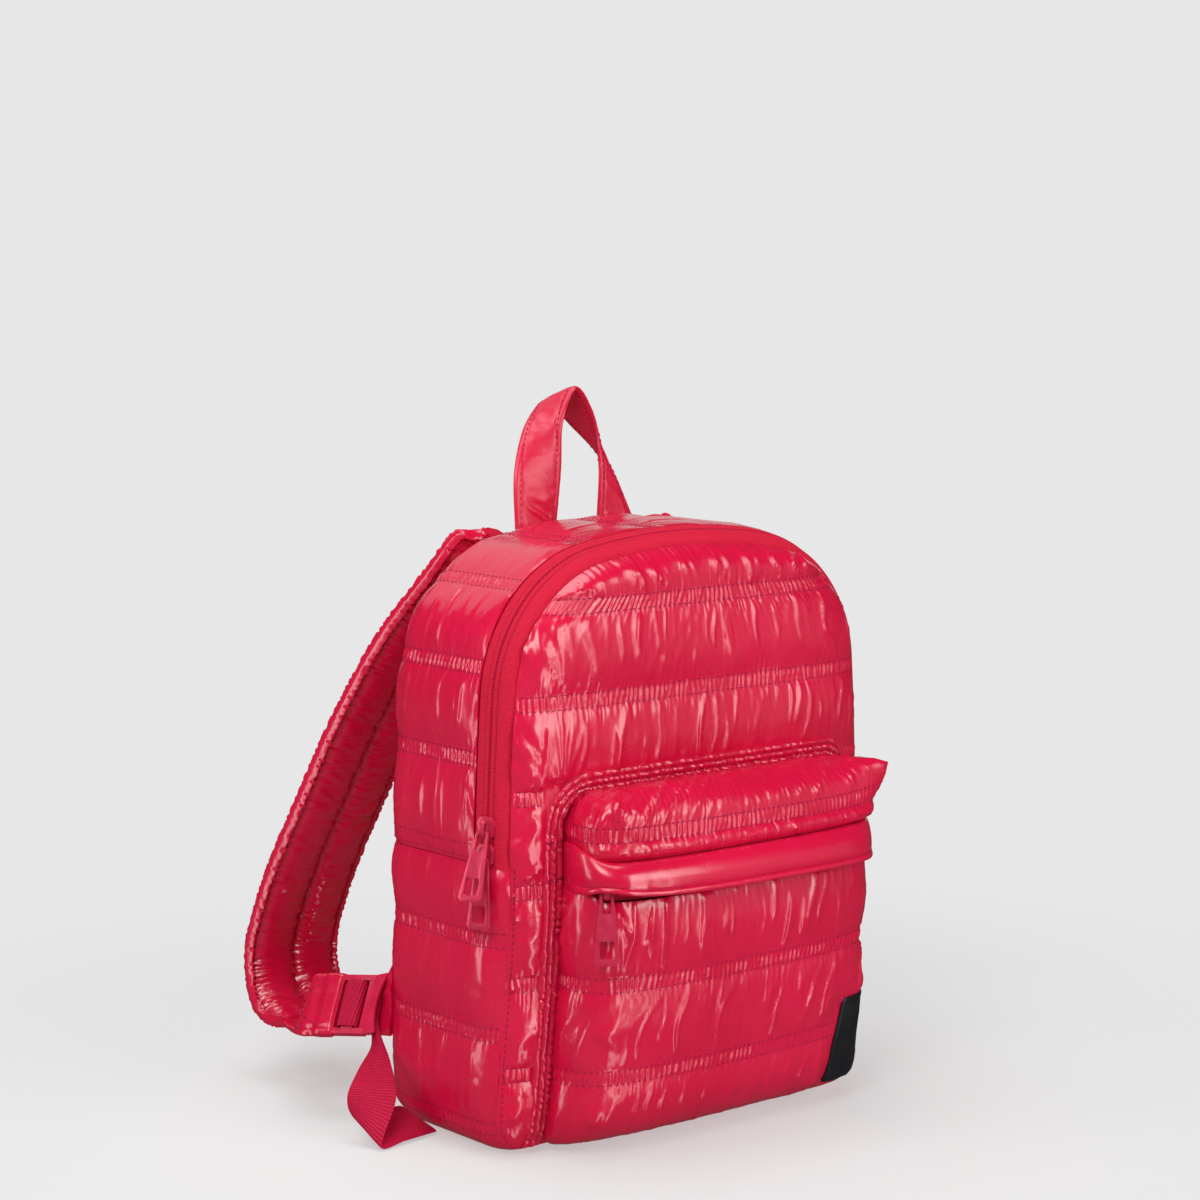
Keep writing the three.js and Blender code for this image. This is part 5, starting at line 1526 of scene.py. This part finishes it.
def rounded(node_name, name, body, material, slot, width):
    """A copy of a node's solid with its edges rounded."""
    mesh = bmesh.new()
    mesh.from_mesh(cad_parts[node_name].data)
    bmesh.ops.remove_doubles(mesh, verts=mesh.verts, dist=TINY)
    flat = math.radians(FLAT_BELOW)
    bmesh.ops.dissolve_limit(mesh, angle_limit=flat, verts=mesh.verts, edges=mesh.edges)
    bent = math.radians(ROUND_FROM)
    edges = [e for e in mesh.edges if len(e.link_faces) == 2 and e.calc_face_angle() > bent]
    bmesh.ops.bevel(
        mesh, geom=edges, offset=width * MM, segments=ROUND_SEGMENTS, profile=0.5, affect="EDGES",
        clamp_overlap=True,
    )
    data = bpy.data.meshes.new(name)
    mesh.to_mesh(data)
    mesh.free()
    data.shade_smooth()
    data.set_sharp_from_angle(angle=math.radians(HARD_SHARP_ANGLE))
    made = bpy.data.objects.new(name, data)
    bpy.context.scene.collection.objects.link(made)
    finish_piece(made, body, material, slot, node_name)


for place in ("main_slider_upper", "main_slider_lower", "pocket_slider"):
    rounded(place, f"{place}_painted", "bag", METAL, "zip_metal", SLIDER_ROUND)
for place in ("main_pull_upper", "main_pull_lower", "pocket_pull"):
    rounded(place, f"{place}_painted", place, METAL, "zip_metal", PULL_ROUND)
for place in ("ladder_lock_left", "ladder_lock_right"):
    rounded(place, f"{place}_moulded", "bag", PLASTIC, "lock", LOCK_ROUND)

for name in THREADS:
    thread_piece(name)

# Floor, light and camera

floor_mesh = bpy.data.meshes.new("floor")
corners = [(x * FLOOR_HALF, y * FLOOR_HALF, 0) for x, y in ((-1, -1), (1, -1), (1, 1), (-1, 1))]
floor_mesh.from_pydata(corners, [], [(0, 1, 2, 3)])
floor = bpy.data.objects.new("floor", floor_mesh)
bpy.context.scene.collection.objects.link(floor)
floor.visible_glossy = False


def floor_material():
    """Paper that takes the bag's shadow near it and is the backdrop's grey further off."""
    look = Look("floor_paper", (FLOOR_ALBEDO, FLOOR_ALBEDO, FLOOR_ALBEDO, 1), 0.9, Specular_IOR_Level=0.1)
    glow = look.add("ShaderNodeEmission", Color=BACKDROP)
    mix = look.add("ShaderNodeMixShader")
    length = look.add("ShaderNodeVectorMath", operation="LENGTH")
    share = look.add("ShaderNodeMapRange", interpolation_type="SMOOTHSTEP", **FLOOR_GLOW)
    look.link(look.add("ShaderNodeTexCoord").outputs["Object"], length.inputs[0])
    look.link(length.outputs["Value"], share.inputs["Value"])
    look.link(share.outputs["Result"], mix.inputs["Fac"])
    look.link(look.shader.outputs["BSDF"], mix.inputs[1])
    look.link(glow.outputs["Emission"], mix.inputs[2])
    look.link(mix.outputs["Shader"], look.nodes["Material Output"].inputs["Surface"])
    return look.material


floor_mesh.materials.append(floor_material())

world = bpy.data.worlds.new("studio")
bpy.context.scene.world = world
world.use_nodes = True
sky = world.node_tree.nodes["Background"]
sky.inputs["Color"].default_value = BACKDROP
path = world.node_tree.nodes.new("ShaderNodeLightPath")
level = world.node_tree.nodes.new("ShaderNodeMapRange")
level.inputs["To Min"].default_value = SKY_LIGHT
level.inputs["To Max"].default_value = 1.0
world.node_tree.links.new(path.outputs["Is Camera Ray"], level.inputs["Value"])
world.node_tree.links.new(level.outputs["Result"], sky.inputs["Strength"])

for name, place, target, width, height, power in LIGHTS:
    data = bpy.data.lights.new(name, "AREA")
    data.shape, data.size, data.size_y, data.energy = "RECTANGLE", width, height, power
    made = bpy.data.objects.new(name, data)
    made.location = place
    made.rotation_euler = (Vector(target) - Vector(place)).to_track_quat("-Z", "Y").to_euler()
    made.visible_camera = False
    bpy.context.scene.collection.objects.link(made)

camera_data = bpy.data.cameras.new("camera")
camera = bpy.data.objects.new("camera", camera_data)
bpy.context.scene.collection.objects.link(camera)
camera_data.sensor_width, camera_data.lens = SENSOR, CAMERA_LENS
camera_data.clip_start, camera_data.clip_end = 0.05, 50
yaw, pitch = math.radians(CAMERA_YAW), math.radians(CAMERA_PITCH)
forward = Vector((-math.sin(yaw) * math.cos(pitch), math.cos(yaw) * math.cos(pitch), -math.sin(pitch)))
right = Vector((math.cos(yaw), math.sin(yaw), 0))
up = right.cross(forward)
camera.matrix_world = Matrix.Translation(Vector(CAMERA_PLACE) * MM) @ Matrix(
    (right, up, -forward)
).transposed().to_4x4()
bpy.context.scene.camera = camera
bpy.context.scene.view_settings.view_transform = "Standard"

bpy.context.view_layer.update()
